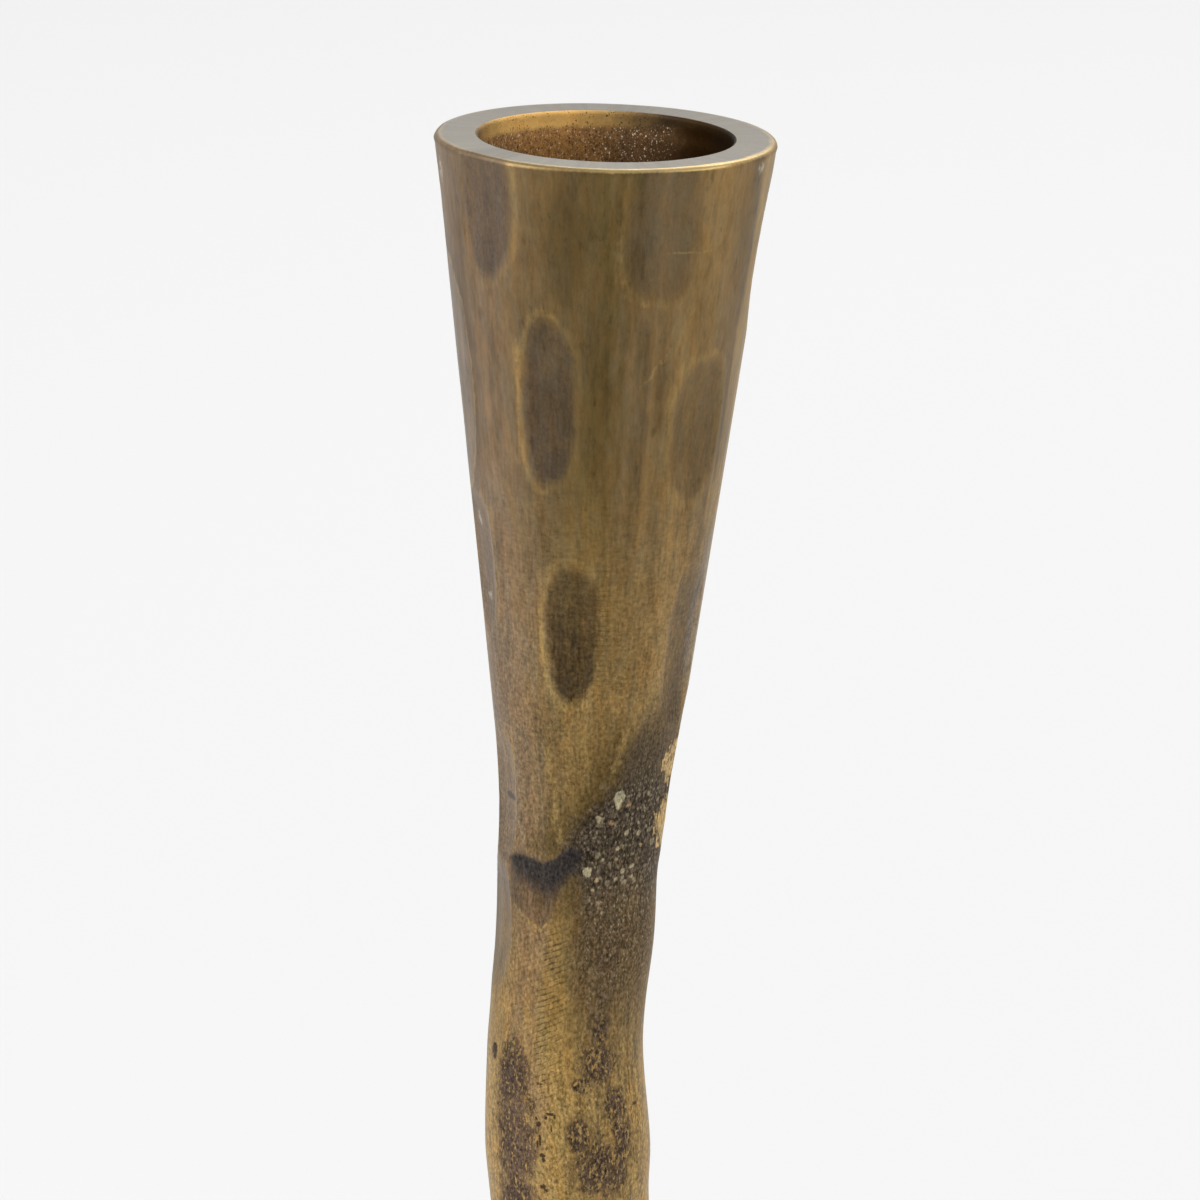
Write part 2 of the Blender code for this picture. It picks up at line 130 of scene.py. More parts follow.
# On the cup: bearing in degrees, share of the cup's length, width and length in mm, how dark the mark
# has gone, how far to grey, how worn its outline is, and the side where it is worn most, in degrees from
# right to below
CUP_DENTS = (
    (-47, 0.06, 6.7, 15, 0.78, 1, 0.27, 20), (22.5, 0.08, 8.1, 14.3, 0.28, 0.75, 0.36, 150),
    (-21, 0.33, 5.7, 15.8, 0.8, 0.5, 0.58, 200), (47, 0.371, 6.5, 13.9, 0.46, 0.2, 0.48, 250),
    (-72, 0.575, 5.2, 13, 0.35, 0.95, 0.35, 0), (-9.6, 0.65, 5.6, 13.4, 0.98, 0.14, 0.66, 165),
    (61, 0.68, 6, 16, 0.4, 0, 0.12, 200), (-26.6, 0.88, 6.4, 12.6, 0, 0, 0.3, 40),
    (51, 0.865, 7.8, 13, 0, 0, 0.75, 225), (-69, 0.9, 4.8, 12, 0, 0, 0.35, 0),
    (92, 0.15, 7.2, 15, 0.6, 0.6, 0.5, 160), (104, 0.52, 6, 14.3, 0.8, 0.1, 0.7, 200),
    (96, 0.84, 5.7, 12.8, 0.4, 0.3, 0.4, 90), (136, 0.32, 6.9, 15, 0.65, 0.2, 0.6, 180),
    (150, 0.68, 5.7, 14.3, 0.85, 0, 0.7, 150), (172, 0.1, 7.5, 14.3, 0.5, 0.8, 0.5, 60),
    (-168, 0.44, 6.3, 15, 0.7, 0.2, 0.6, 10), (-160, 0.83, 6, 12.8, 0.3, 0, 0.4, 120),
    (-136, 0.22, 7.2, 14.3, 0.7, 0.4, 0.6, 0), (-122, 0.6, 6, 14.3, 0.8, 0.1, 0.7, 170),
    (-98, 0.1, 7.2, 13.5, 0.5, 0.8, 0.45, 100), (-100, 0.38, 6.3, 13.5, 0.7, 0.2, 0.6, 20),
    (-108, 0.9, 5.4, 11.3, 0.2, 0, 0.3, 0),
)
# In a spiral down the stem, fading in above the foot over shares of its length
SPIRAL_MARKS = 22
SPIRAL_TURN = 137.5
SPIRAL_RADIUS = 0.0073
FADE_START, FADE_SHARE = 0.03, 0.05
# In rows on the foot: marks in the row, share of the foot's radius, width and length in mm
FOOT_DENT_ROWS = ((11, 0.34, 8.1, 12), (15, 0.62, 9.6, 12.8), (19, 0.88, 9.6, 10.5))

# Along the stem from foot to cup: share of its length, sway right, sway back, swell
STEM_STATIONS = (
    (0, 0, 0, 1), (0.06, 0, 0, 0.99), (0.15, -0.15, 0.4, 0.96), (0.25, -0.65, 0.2, 0.97),
    (0.35, -0.9, -0.45, 1.03), (0.44, -0.38, -0.75, 0.97), (0.53, 0.5, -0.4, 1.03),
    (0.63, 0.95, 0.2, 0.96), (0.72, 0.62, 0.6, 1.02), (0.8, -0.05, 0.55, 0.95),
    (0.858, -0.31, 0.35, 0.985), (0.88, -0.345, 0.25, 1.02), (0.92, -0.425, 0.15, 0.968),
    (0.94, -0.33, 0.1, 0.958), (0.97, -0.1, 0.04, 0.985), (1, 0, 0, 1),
)


# Modelling


def lathe(name, outline, segments):
    """Turns an outline about the Z axis. Its points are (radius, z, steps that lead there)."""
    bpy.ops.mesh.primitive_plane_add(size=MM)
    piece = bpy.context.object
    piece.name = piece.data.name = name
    bpy.ops.object.mode_set(mode="EDIT")
    bpy.ops.mesh.select_all(action="SELECT")
    bpy.ops.mesh.merge(type="CENTER")
    radius, z, _ = outline[0]
    bpy.ops.transform.translate(value=(radius, 0, z))
    for next_radius, next_z, steps in outline[1:]:
        step = ((next_radius - radius) / steps, 0, (next_z - z) / steps)
        for _ in range(steps):
            bpy.ops.mesh.extrude_region_move(TRANSFORM_OT_translate={"value": step})
        radius, z = next_radius, next_z
    bpy.ops.object.mode_set(mode="OBJECT")
    bpy.ops.object.modifier_add(type="SCREW")
    screw = piece.modifiers[0]
    screw.steps = screw.render_steps = segments
    screw.use_merge_vertices = True
    screw.merge_threshold = WELD
    bpy.ops.object.modifier_apply(modifier=screw.name)
    bpy.ops.object.mode_set(mode="EDIT")
    bpy.ops.mesh.select_all(action="SELECT")
    bpy.ops.mesh.remove_doubles(threshold=WELD)
    bpy.ops.mesh.normals_make_consistent(inside=False)
    bpy.ops.object.mode_set(mode="OBJECT")
    return piece


def rounded(centre_r, centre_z, radius, start, end, steps):
    """Outline points of an arc after its first, between two angles in degrees from +r towards +z."""
    points = []
    for i in range(1, steps + 1):
        turn = math.radians(start + (end - start) * i / steps)
        points.append((centre_r + radius * math.cos(turn), centre_z + radius * math.sin(turn), 1))
    return points


def points_of(piece):
    """The piece's points, and the bearing and radius of each."""
    co = np.empty(len(piece.data.vertices) * 3)
    piece.data.vertices.foreach_get("co", co)
    co = co.reshape(-1, 3)
    return co, np.arctan2(co[:, 0], -co[:, 1]), np.hypot(co[:, 0], co[:, 1])


def set_value(piece, name, values):
    attribute = piece.data.attributes.new(name, "FLOAT", "POINT")
    attribute.data.foreach_set("value", np.asarray(values, dtype=np.float32))


def set_surface_map(piece, bearing, depth):
    """Maps bearing round the piece, 0.5 at the front, and depth below the rim as a share of the height."""
    mesh = piece.data
    corner = np.empty(len(mesh.loops), dtype=np.int32)
    mesh.loops.foreach_get("vertex_index", corner)
    turn = bearing[corner] / math.tau
    anchor = np.repeat(turn[[p.loop_start for p in mesh.polygons]], [p.loop_total for p in mesh.polygons])
    turn = turn - np.round(turn - anchor)
    uv = np.stack([turn + 0.5, depth[corner] / HEIGHT], axis=1)
    layer = mesh.uv_layers.new(name="surface")
    layer.data.foreach_set("uv", uv.astype(np.float32).ravel())


def eased(share):
    """0 to 1 with soft ends."""
    return share * share * (3 - 2 * share)


def uneven(amount, bearing, along, seed, waves=BROAD_WAVES):
    """Between 0 and about twice an amount: a few waves that go round and along the piece."""
    total = np.zeros_like(bearing)
    for i, (turns, climb) in enumerate(waves):
        total += np.sin(turns * bearing + climb * along + 2.4 * i + seed)
    return amount * (1 + total / len(waves))


def marks_at(bearing, along, marks):
    """Looks up the nearest hammer mark at each point.

    sunk is how deep it is there, inset how far inside its edge the point is, in mm. dark, grey and worn
    are its own tones and outline."""
    depth = np.full_like(bearing, -9.0)
    found = {name: np.zeros_like(bearing) for name in MARK_LOOKS}
    for turn, place, radius, half_width, half_length, dark, grey, worn, side in marks:
        off = np.remainder(bearing - turn + math.pi, math.tau) - math.pi
        u = radius * off / half_width
        v = (along - place) / half_length
        around = np.arctan2(v, u)
        wobble = 1 + 0.06 * np.sin(3 * around + 40 * turn) + 0.05 * np.sin(5 * around + 900 * place)
        here = 1 - (np.abs(u) ** SQUARENESS + np.abs(v) ** SQUARENESS) * wobble
        rise_u = np.abs(u) ** (SQUARENESS - 1) / half_width
        rise_v = np.abs(v) ** (SQUARENESS - 1) / half_length
        inset = here / (SQUARENESS * np.hypot(rise_u, rise_v) + 1e-6) / MM
        lit = np.clip(0.5 + 0.5 * np.cos(around - math.radians(side)), 0.1, 1)
        shaded = dark * np.clip(0.86 + 0.24 * v, 0.55, 1.0)
        nearer = here > depth
        depth = np.where(nearer, here, depth)
        looks = np.clip(inset, -INSET_LIMIT, INSET_LIMIT), shaded, grey, worn * lit
        for name, value in zip(MARK_LOOKS, looks):
            found[name] = np.where(nearer, value, found[name])
    found["sunk"] = DENT_DEPTH * np.clip(depth, 0, 1)
    return found


def settle(piece, co, crease, skin=None, marks=None):
    """Moves the piece's points, keeps its hammer marks, maps its skin and smooths it up to an angle."""
    piece.data.vertices.foreach_set("co", co.ravel())
    piece.data.update()
    for name in MARK_LOOKS if marks else ():
        set_value(piece, "mark_" + name, marks[name])
    if skin:
        set_surface_map(piece, *skin)
    bpy.ops.object.shade_smooth_by_angle(angle=math.radians(crease))
    return piece


# Candle cup


def cup_radius(depth):
    cone = RIM_RADIUS - (RIM_RADIUS - NECK_RADIUS) * depth / (CUP_LENGTH - NECK_LENGTH)
    return NECK_RADIUS + NECK_BLEND * np.logaddexp(0, (cone - NECK_RADIUS) / NECK_BLEND)


JOINT_RADIUS = float(cup_radius(CUP_LENGTH))


def cup_sweep(depth):
    share = np.maximum(depth - CUP_LENGTH + NECK_SWEEP_LENGTH, 0) / NECK_SWEEP_LENGTH
    return -NECK_SWEEP * share**1.5


def cup_marks():
    for bearing, share, width, length, *look in CUP_DENTS:
        depth = share * CUP_LENGTH
        yield math.radians(bearing), depth, float(cup_radius(depth)), width * MM / 2, length * MM / 2, *look


def cup_hammering(bearing, depth):
    """How far the hammer has sunk the outer wall, and the marks that show it."""
    found = marks_at(bearing, np.maximum(depth, RIM_EASE), cup_marks())
    below_rim = np.clip(depth / RIM_REACH, 0, 1)
    full = RIM_DENT + (1 - RIM_DENT) * eased(below_rim)
    return full * found["sunk"] + uneven(CUP_UNEVEN, bearing, depth, 1.3), found


def in_cup(bearing, depth, radius):
    """Points of the cup, leaned into their place."""
    swept = np.where(depth > BORE_DEPTH, cup_sweep(np.minimum(depth, CUP_LENGTH)), 0)
    points = np.stack([radius * np.sin(bearing) + swept, -radius * np.cos(bearing), -depth], axis=1)
    turn = np.array(CUP_FRAME.to_3x3())
    return points @ turn.T + np.array(CUP_FRAME.translation)


def candle_cup():
    groove = CUP_LENGTH - SEAM_WIDTH / 2
    outline = [
        (0, -BORE_DEPTH, 1),
        (BORE_FLOOR_RADIUS, -BORE_DEPTH, 3),
        (BORE_RADIUS - MOUTH_STEP, -MOUTH_BAND - 1.2 * MM, 24),
        (BORE_RADIUS - MOUTH_STEP * 0.8, -MOUTH_BAND - 0.5 * MM, 2),
        (BORE_RADIUS - MOUTH_STEP * 0.2, -MOUTH_BAND + 0.2 * MM, 3),
        (BORE_RADIUS, -MOUTH_BAND + 0.8 * MM, 2),
        (BORE_RADIUS, -BORE_EASE, 4),
    ]
    mouth, edge = BORE_RADIUS + BORE_EASE, RIM_RADIUS - RIM_EASE
    outline += rounded(mouth, -BORE_EASE, BORE_EASE, 180, 90, 4)
    outline += [(edge, 0, 6)]
    outline += rounded(edge, -RIM_EASE, RIM_EASE, 90, 0, 5)
    for i in range(1, CUP_ROWS + 1):
        depth = RIM_EASE + (groove - RIM_EASE) * i / CUP_ROWS
        outline.append((float(cup_radius(depth)), -depth, 1))
    outline += [
        (JOINT_RADIUS - SEAM_DEPTH, -CUP_LENGTH, 2),
        (STUD_HOLE_RADIUS, -CUP_LENGTH, 1),
        (STUD_HOLE_RADIUS, -CUP_LENGTH + STUD_HOLE_DEPTH, 2),
        (0, -CUP_LENGTH + STUD_HOLE_DEPTH, 1),
    ]
    cup = lathe("cup", outline, CUP_SEGMENTS)

    # The hammer only reaches the outer wall
    co, bearing, radius = points_of(cup)
    depth = -co[:, 2]
    on_edge = (depth < RIM_EASE + TOUCH) & (radius > edge - NEAR)
    outer = ((radius > cup_radius(depth) - WALL_SLACK) | on_edge) & (depth < groove + TOUCH)
    sunk, found = cup_hammering(bearing, depth)
    shaped = radius - np.where(outer, sunk, 0)
    lowered = np.where(depth < RIM_EASE, uneven(RIM_UNEVEN, bearing, radius, 0.7), 0)
    lip = np.clip((RIM_EASE * 0.85 - depth) / (RIM_EASE * 0.6), 0, 1)
    set_value(cup, "rim_flat", (depth < NEAR) & (radius > mouth - NEAR) & (radius < edge + NEAR))
    set_value(cup, "rim_lip", np.where(radius > edge - NEAR, lip, 0))
    set_value(cup, "bore", (radius < mouth - NEAR) & (depth < BORE_DEPTH + MM))
    return settle(cup, in_cup(bearing, depth + lowered, shaped), METAL_CREASE, (bearing, depth), found)


def cup_seam():
    """The braze in the groove between cup and stem, filed down until it runs on from one to the other."""
    low, high = CUP_LENGTH + SEAM_WIDTH / 2 + SEAM_LAP, CUP_LENGTH - SEAM_WIDTH / 2 - SEAM_LAP
    root = JOINT_RADIUS - SEAM_DEPTH + SEAM_GAP
    outline = [(root, -CUP_LENGTH, 1), (JOINT_RADIUS, -high, 3)]
    outline += [(JOINT_RADIUS, -low, 14), (root, -CUP_LENGTH, 3)]
    seam = lathe("cup_seam_bead", outline, CUP_SEGMENTS)
    co, bearing, radius = points_of(seam)
    depth = -co[:, 2]
    down = depth - CUP_LENGTH
    up_stem = 1 - down / STEM_LENGTH
    on_cup, found = cup_hammering(bearing, depth)
    on_stem, stem_found = stem_hammering(bearing, np.maximum(down, 0))
    share = eased(np.clip((depth - high) / (low - high), 0, 1))
    outer = radius > JOINT_RADIUS - TOUCH
    cup_side = np.where(outer, cup_radius(depth) - on_cup + SEAM_PROUD, radius)
    stem_side = np.where(outer, stem_radius(up_stem) - on_stem + SEAM_PROUD, radius)
    upper = in_cup(bearing, depth, cup_side)
    lower = in_stem(bearing, up_stem, stem_side)
    co = upper + (lower - upper) * share[:, None]
    marks = {name: np.where(share < 0.5, found[name], stem_found[name]) for name in found}
    return settle(seam, co, BRAZE_CREASE, (bearing, depth), marks)


# Stem


def along_stem(share, column):
    """A smooth curve through one column of the stations."""
    stations = np.array(STEM_STATIONS)
    places, values = stations[:, 0], stations[:, column]
    i = np.arange(len(places))
    before, after = np.maximum(i - 1, 0), np.minimum(i + 1, i[-1])
    slopes = (values[after] - values[before]) / (places[after] - places[before])
    k = np.clip(np.searchsorted(places, share, side="right") - 1, 0, len(places) - 2)
    span = places[k + 1] - places[k]
    u = (share - places[k]) / span
    return (
        values[k] * (1 + 2 * u) * (1 - u) ** 2
        + values[k + 1] * u * u * (3 - 2 * u)
        + span * slopes[k] * u * (1 - u) ** 2
        - span * slopes[k + 1] * u * u * (1 - u)
    )


def stem_radius(share):
    straight = STEM_FOOT_RADIUS + (JOINT_RADIUS - STEM_FOOT_RADIUS) * share
    return straight * along_stem(share, 3)


def in_stem(bearing, share, radius):
    """Points of the stem, leaned and swayed into their place."""
    lean = CUP_LEAN * share
    middle = np.outer(1 - share, (0, 0, STEM_END_Z)) + np.outer(share, JOINT)
    middle[:, 0] += STEM_SWAY * along_stem(share, 1)
    middle[:, 1] += STEM_SWAY * along_stem(share, 2)
    across = radius * np.sin(bearing)
    ahead = -radius * np.cos(bearing)
    return middle + np.stack([across * np.cos(lean), ahead, -across * np.sin(lean)], axis=1)


def stem_marks():
    """Flats down the stem: one that shows just under the cup, whose grey tone is painted reflection, and a
    spiral of them further down.
    """
    yield math.radians(-76), 71 * MM - CUP_LENGTH, NECK_RADIUS, 2.8 * MM, 7 * MM, 0.35, 1.0, 0.25, 0
    for i in range(SPIRAL_MARKS):
        turn, place = math.radians(SPIRAL_TURN * i + 60), (36 + 8 * i) * MM
        size = 0.85 + 0.3 * ((i * 7) % 5) / 4
        dark = 0.9 * ((i * 3) % 4) / 3
        yield turn, place, SPIRAL_RADIUS, 2.9 * MM * size, 7.5 * MM * size, dark, 0.2, 0.5, 70 * i


def stem_hammering(bearing, down):
    found = marks_at(bearing, down, stem_marks())
    return found["sunk"] + uneven(STEM_UNEVEN, bearing, down, 0.4, STEM_WAVES), found


def stem():
    start = 1 - SEAM_WIDTH / 2 / STEM_LENGTH
    stud_end = 1 - STUD_HOLE_DEPTH / STEM_LENGTH
    screw_end = (SCREW_HOLE_TOP_Z - STEM_END_Z) / STEM_LENGTH
    outline = [
        (0, stud_end, 1),
        (STUD_HOLE_RADIUS, stud_end, 1),
        (STUD_HOLE_RADIUS, 1, 2),
        (JOINT_RADIUS - SEAM_DEPTH, 1, 1),
        (1, start, 1),
        (1, 0, STEM_ROWS),
        (SCREW_HOLE_RADIUS, 0, 1),
        (SCREW_HOLE_RADIUS, screw_end, 2),
        (0, screw_end, 1),
    ]
    bar = lathe("stem_bar", outline, STEM_SEGMENTS)
    co, bearing, radius = points_of(bar)
    share = co[:, 2]
    down = (1 - share) * STEM_LENGTH
    sunk, found = stem_hammering(bearing, down)
    fade = np.clip((share - FADE_START) / FADE_SHARE, 0, 1)
    radius = np.where(radius > 0.5, stem_radius(share) - sunk * fade, radius)
    return settle(bar, in_stem(bearing, share, radius), METAL_CREASE, (bearing, CUP_LENGTH + down), found)


# Foot


def foot_marks():
    """Three staggered rows of hammer marks round the dome."""
    for row, (count, share, width, length) in enumerate(FOOT_DENT_ROWS):
        radius = share * FOOT_RADIUS
        for i in range(count):
            dark = 0.2 + 0.7 * ((i * 5 + row * 2) % 7) / 6
            turn = math.tau * (i + row / 2) / count
            yield turn, radius, radius, width * MM / 2, length * MM / 2, dark, 0.15 * (i % 3), 0.6, 80 * i


def dome_z(radius):
    level = SOCKET_RADIUS + FILLET_REACH
    share = np.clip((radius - level) / (FOOT_RADIUS - FOOT_EDGE_ROUND - level), 0, 1)
    return EDGE_Z + (CROWN_Z - EDGE_Z) * (1 - eased(share))


def foot():
    shoulder = FOOT_RADIUS - FOOT_EDGE_ROUND
    outline = [(SOCKET_RADIUS, CROWN_Z, 1), (shoulder, CROWN_Z, FOOT_ROWS), (shoulder, EDGE_Z, 1)]
    outline += rounded(shoulder, EDGE_Z - FOOT_EDGE_ROUND, FOOT_EDGE_ROUND, 90, 0, 9)
    outline += [
        (FOOT_RADIUS, UNDERSIDE_Z + FOOT_UNDER_EASE, 10),
        (FOOT_RADIUS - FOOT_UNDER_EASE, UNDERSIDE_Z, 2),
        (RECESS_RADIUS, UNDERSIDE_Z, 2),
        (RECESS_RADIUS, RECESS_Z, 1),
        (SOCKET_RADIUS, RECESS_Z, 2),
        (SOCKET_RADIUS, WEB_Z, 1),
        (SCREW_CLEAR_RADIUS, WEB_Z, 1),
        (SCREW_CLEAR_RADIUS, SEAT_Z, 1),
        (SOCKET_RADIUS, SEAT_Z, 1),
        (SOCKET_RADIUS, CROWN_Z, 1),
    ]
    piece = lathe("foot_dome", outline, FOOT_SEGMENTS)
    co, bearing, radius = points_of(piece)
    top = (co[:, 2] > CROWN_Z - TOUCH) & (radius > SOCKET_RADIUS + TOUCH)
    found = marks_at(bearing, radius, foot_marks())
    sunk = found["sunk"] + uneven(FOOT_UNEVEN, bearing, radius, 2.0)
    co[:, 2] = np.where(top, dome_z(radius) - sunk, co[:, 2])
    rim = (radius > shoulder - TOUCH) & ~top
    trim = 1 - np.where(rim, uneven(EDGE_UNEVEN, bearing, co[:, 2], 5.0, EDGE_WAVES), 0)
    co[:, :2] *= trim[:, None]
    found["inset"] = np.where(top, found["inset"], -INSET_LIMIT)
    return settle(piece, co, METAL_CREASE, (bearing, HEIGHT - co[:, 2]), found)


def foot_seam():
    """The hollow fillet of braze between stem and foot."""
    inner, base = STEM_FOOT_RADIUS - FILLET_LAP, CROWN_Z - FILLET_LAP
    outline = [(inner, base, 1), (inner, CROWN_Z + FILLET_HEIGHT, 2)]
    reach, height = SOCKET_RADIUS + FILLET_REACH - inner, FILLET_HEIGHT + FILLET_LAP
    for i in range(FILLET_ROWS + 1):
        turn = math.pi / 2 * i / FILLET_ROWS
        out = FILLET_TOP + (reach - FILLET_TOP) * (1 - math.cos(turn))
        outline.append((inner + out, base + height * (1 - math.sin(turn)), 1))
    outline.append((inner, base, 1))
    piece = lathe("foot_fillet", outline, FILLET_SEGMENTS)
    co, bearing, radius = points_of(piece)
    lump = uneven(FILLET_UNEVEN, bearing, co[:, 2], 3.0, FILLET_WAVES)
    shaped = radius - np.where(radius > inner + 0.2 * MM, lump, 0)
    co[:, :2] *= (shaped / radius)[:, None]
    return settle(piece, co, BRAZE_CREASE, (bearing, HEIGHT - co[:, 2]))


def felt():
    """The round felt under the foot, with its cut edge a little uneven."""
    soft = 0.5 * MM
    outline = [(0, FELT_THICKNESS, 1), (FELT_RADIUS, FELT_THICKNESS, 8), (FELT_RADIUS, soft, 3)]
    outline += rounded(FELT_RADIUS - soft, soft, soft, 0, -90, 5)
    outline += [(0, 0, 8)]
    piece = lathe("felt_disc", outline, FELT_SEGMENTS)
    co, bearing, radius = points_of(piece)
    frayed = uneven(FELT_UNEVEN, bearing, co[:, 2], 1.0, FELT_WAVES)
    shrink = np.where(radius > FELT_RADIUS - MM, (FELT_RADIUS - frayed) / FELT_RADIUS, 1)
    co[:, :2] *= shrink[:, None]
    return settle(piece, co, FELT_CREASE)


# Stage, light and camera


def stage():
    bpy.ops.mesh.primitive_plane_add(size=8, location=(0, 0, -0.1 * MM))
    floor = bpy.context.object
    floor.name = "floor"
    bpy.ops.object.transform_apply(location=True, rotation=True, scale=True)
    pale = Finish("pale_floor", {"Base Color": (0.755, 0.755, 0.755, 1), "Roughness": 0.8})
    floor.data.materials.append(pale.material)


def aimed(name, data, place, target):
    """Puts a light or the camera in its place, turned to face a target."""
    item = bpy.data.objects.new(name, data)
    item.location = place
    item.rotation_euler = (Vector(target) - Vector(place)).to_track_quat("-Z", "Y").to_euler()
    bpy.context.scene.collection.objects.link(item)
    return item


def softbox(name, place, target, size, power):
    data = bpy.data.lights.new(name, "AREA")
    data.shape = "RECTANGLE"
    data.size, data.size_y = size
    data.energy = power
    aimed(name, data, place, target)


def studio():
    world = bpy.data.worlds.new("studio")
    world.use_nodes = True
    background = world.node_tree.nodes["Background"]
    background.inputs["Color"].default_value = (1, 1, 1, 1)
    background.inputs["Strength"].default_value = 0.75
    bpy.context.scene.world = world
    softbox("left_softbox", (-1.3, -0.5, 1.1), (0, 0, 0.2), (0.9, 1.3), 17)
    softbox("right_softbox", (1.4, -0.2, 0.9), (0, 0, 0.2), (0.8, 1.2), 4)
    softbox("back_softbox", (0.3, 1.8, 1.5), (0, 0.4, 0.1), (1.6, 0.8), 12)
    bpy.context.scene.view_settings.view_transform = "Standard"


def camera():
    """The camera looks along +Y and a little down, from about a metre away."""
    target = Vector((0.00067, 0, 0.258))
    down = math.radians(13.7)
    distance = 1.0
    frame_width = 0.1065
    data = bpy.data.cameras.new("camera")
    data.sensor_fit = "HORIZONTAL"
    data.angle = 2 * math.atan(frame_width / 2 / distance)
    data.clip_start = 0.01
    place = target + distance * Vector((0, -math.cos(down), math.sin(down)))
    bpy.context.scene.camera = aimed("camera", data, place, target)


# Finishes


def maths(operation, swapped=False):
    """An operator on values that adds its Math node."""

    def apply(self, other=0.0):
        first, second = (other, self) if swapped else (self, other)
        return self.finish.node("Math", {0: first, 1: second}, operation=operation)

    return apply


class Value:
    """A socket in shader maths."""

    def __init__(self, finish, socket):
        self.finish, self.socket = finish, socket

    __add__, __radd__ = maths("ADD"), maths("ADD", True)
    __sub__, __rsub__ = maths("SUBTRACT"), maths("SUBTRACT", True)
    __mul__, __rmul__ = maths("MULTIPLY"), maths("MULTIPLY", True)
    __truediv__, __rtruediv__ = maths("DIVIDE"), maths("DIVIDE", True)
    __abs__, most, sine = maths("ABSOLUTE"), maths("MAXIMUM"), maths("SINE")

    @property
    def swing(self):
        """How far the value is above or below its middle."""
        return self - 0.5


class Finish:
    """A material built from nodes. Settings that are the same all over are given by socket name."""

    def __init__(self, name, constants=None):
        self.material = bpy.data.materials.new(name)
        self.material.use_nodes = True
        self.tree = self.material.node_tree
        self.shader = self.tree.nodes["Principled BSDF"]
        self.bearing = self.depth = self.colour = None
        for socket, value in (constants or {}).items():
            self.shader.inputs[socket].default_value = value

    def node(self, kind, sockets=None, output=0, **settings):
        node = self.tree.nodes.new("ShaderNode" + kind)
        for name, value in settings.items():
            setattr(node, name, value)
        for key, value in (sockets or {}).items():
            self.feed(node.inputs[key], value)
        if isinstance(output, tuple):
            return [Value(self, node.outputs[key]) for key in output]
        return Value(self, node.outputs[output])

    def feed(self, socket, value):
        if isinstance(value, Value):
            self.tree.links.new(value.socket, socket)
        elif isinstance(value, tuple) and socket.type == "RGBA":
            socket.default_value = (*value, 1)
        else:
            socket.default_value = value

    def lay(self, amount, tone):
        """Lays a tone over the colour so far."""
        self.colour = self.mix(amount, self.colour, tone)

    def dim(self, value):
        self.colour = self.scaled(self.colour, value)

    def wear(self, **sockets):
        """Feeds the colour and the other sockets that vary, and hands over the material."""
        for name, value in {"Base Color": self.colour, **sockets}.items():
            self.feed(self.shader.inputs[name], value)
        return self.material

    def surface(self):
        """Bearing in degrees and depth below the rim in mm, from the piece's own map."""
        uv = self.node("UVMap", uv_map="surface")
        u, v = self.node("SeparateXYZ", {0: uv}, (0, 1))
        self.bearing, self.depth = u.swing * 360, v * (HEIGHT / MM)
        return self.bearing, self.depth

    def place(self):
        return self.node("TexCoord", None, "Object")

    def noise(self, vector, detail, roughness, distortion=0.0):
        look = {"Detail": detail, "Roughness": roughness, "Distortion": distortion}
        return self.node("TexNoise", {"Vector": vector, "Scale": 1.0, **look})

    def texture(self, across, upward, *look):
        """Noise fixed in the object, in cells per metre across and upward."""
        return self.noise(self.tinted(self.place(), (across, across, upward)), *look)

    def streaks(self, around, along, *look):
        """Noise on the piece's skin, in cells per radian round it and cells per mm along it."""
        turn = self.bearing * math.radians(1)
        east, south = turn.sine(), (turn + math.pi / 2).sine()
        sockets = {0: east * around, 1: south * around, 2: self.depth * along}
        return self.noise(self.node("CombineXYZ", sockets), *look)

    def scatter(self, depth, per_mm):
        """Points on the unrolled joint: distance from the nearest, and two random numbers of its own."""
        across = self.bearing * (math.radians(1) * NECK_RADIUS / MM * per_mm)
        vector = self.node("CombineXYZ", {0: across, 1: depth * per_mm})
        sockets = {"Vector": vector, "Scale": 1.0}
        distance, colour = self.node("TexVoronoi", sockets, (0, 1), voronoi_dimensions="2D")
        return distance, *self.node("SeparateColor", {0: colour}, (0, 1))

    def ease(self, value, low, high):
        """From 0 at low to 1 at high, with soft ends."""
        sockets = {"Value": value, "From Min": low, "From Max": high}
        return self.node("MapRange", sockets, interpolation_type="SMOOTHSTEP")

    def span(self, value, start, full, fading, end):
        """From 0 at start to 1 at full, and from 1 at fading to 0 at end."""
        return self.ease(value, start, full) * self.ease(value, end, fading)

    def mix(self, factor, first, second):
        return self.node("Mix", {0: factor, 6: first, 7: second}, 2, data_type="RGBA")

    def scaled(self, colour, value):
        return self.node("VectorMath", {0: colour, "Scale": value}, operation="SCALE")

    def tinted(self, colour, tint):
        return self.node("VectorMath", {0: colour, 1: tint}, operation="MULTIPLY")

    def tones(self, value, stops):
        """A colour by a value, from (value, colour) stops."""
        low, high = stops[0][0], stops[-1][0]
        ramp = self.node("ValToRGB", {0: (value - low) / (high - low)})
        elements = ramp.socket.node.color_ramp.elements
        while len(elements) < len(stops):
            elements.new(1.0)
        for element, (place, colour) in zip(elements, stops):
            element.position = (place - low) / (high - low)
            element.color = (*colour, 1)
        return ramp

    def curve(self, value, points):
        """A number by a value, on straight lines between points."""
        least = min(y for _, y in points)
        span = max(y for _, y in points) - least
        grey = self.tones(value, [(x, ((y - least) / span,) * 3) for x, y in points])
        return grey * span + least

    def spot(self, bearing, depth, half_turn, half_length):
        """1 at the middle of a round patch, 0 on its edge and less outside."""
        across = (self.bearing - bearing) / half_turn
        along = (self.depth - depth) / half_length
        return 1 - across * across - along * along

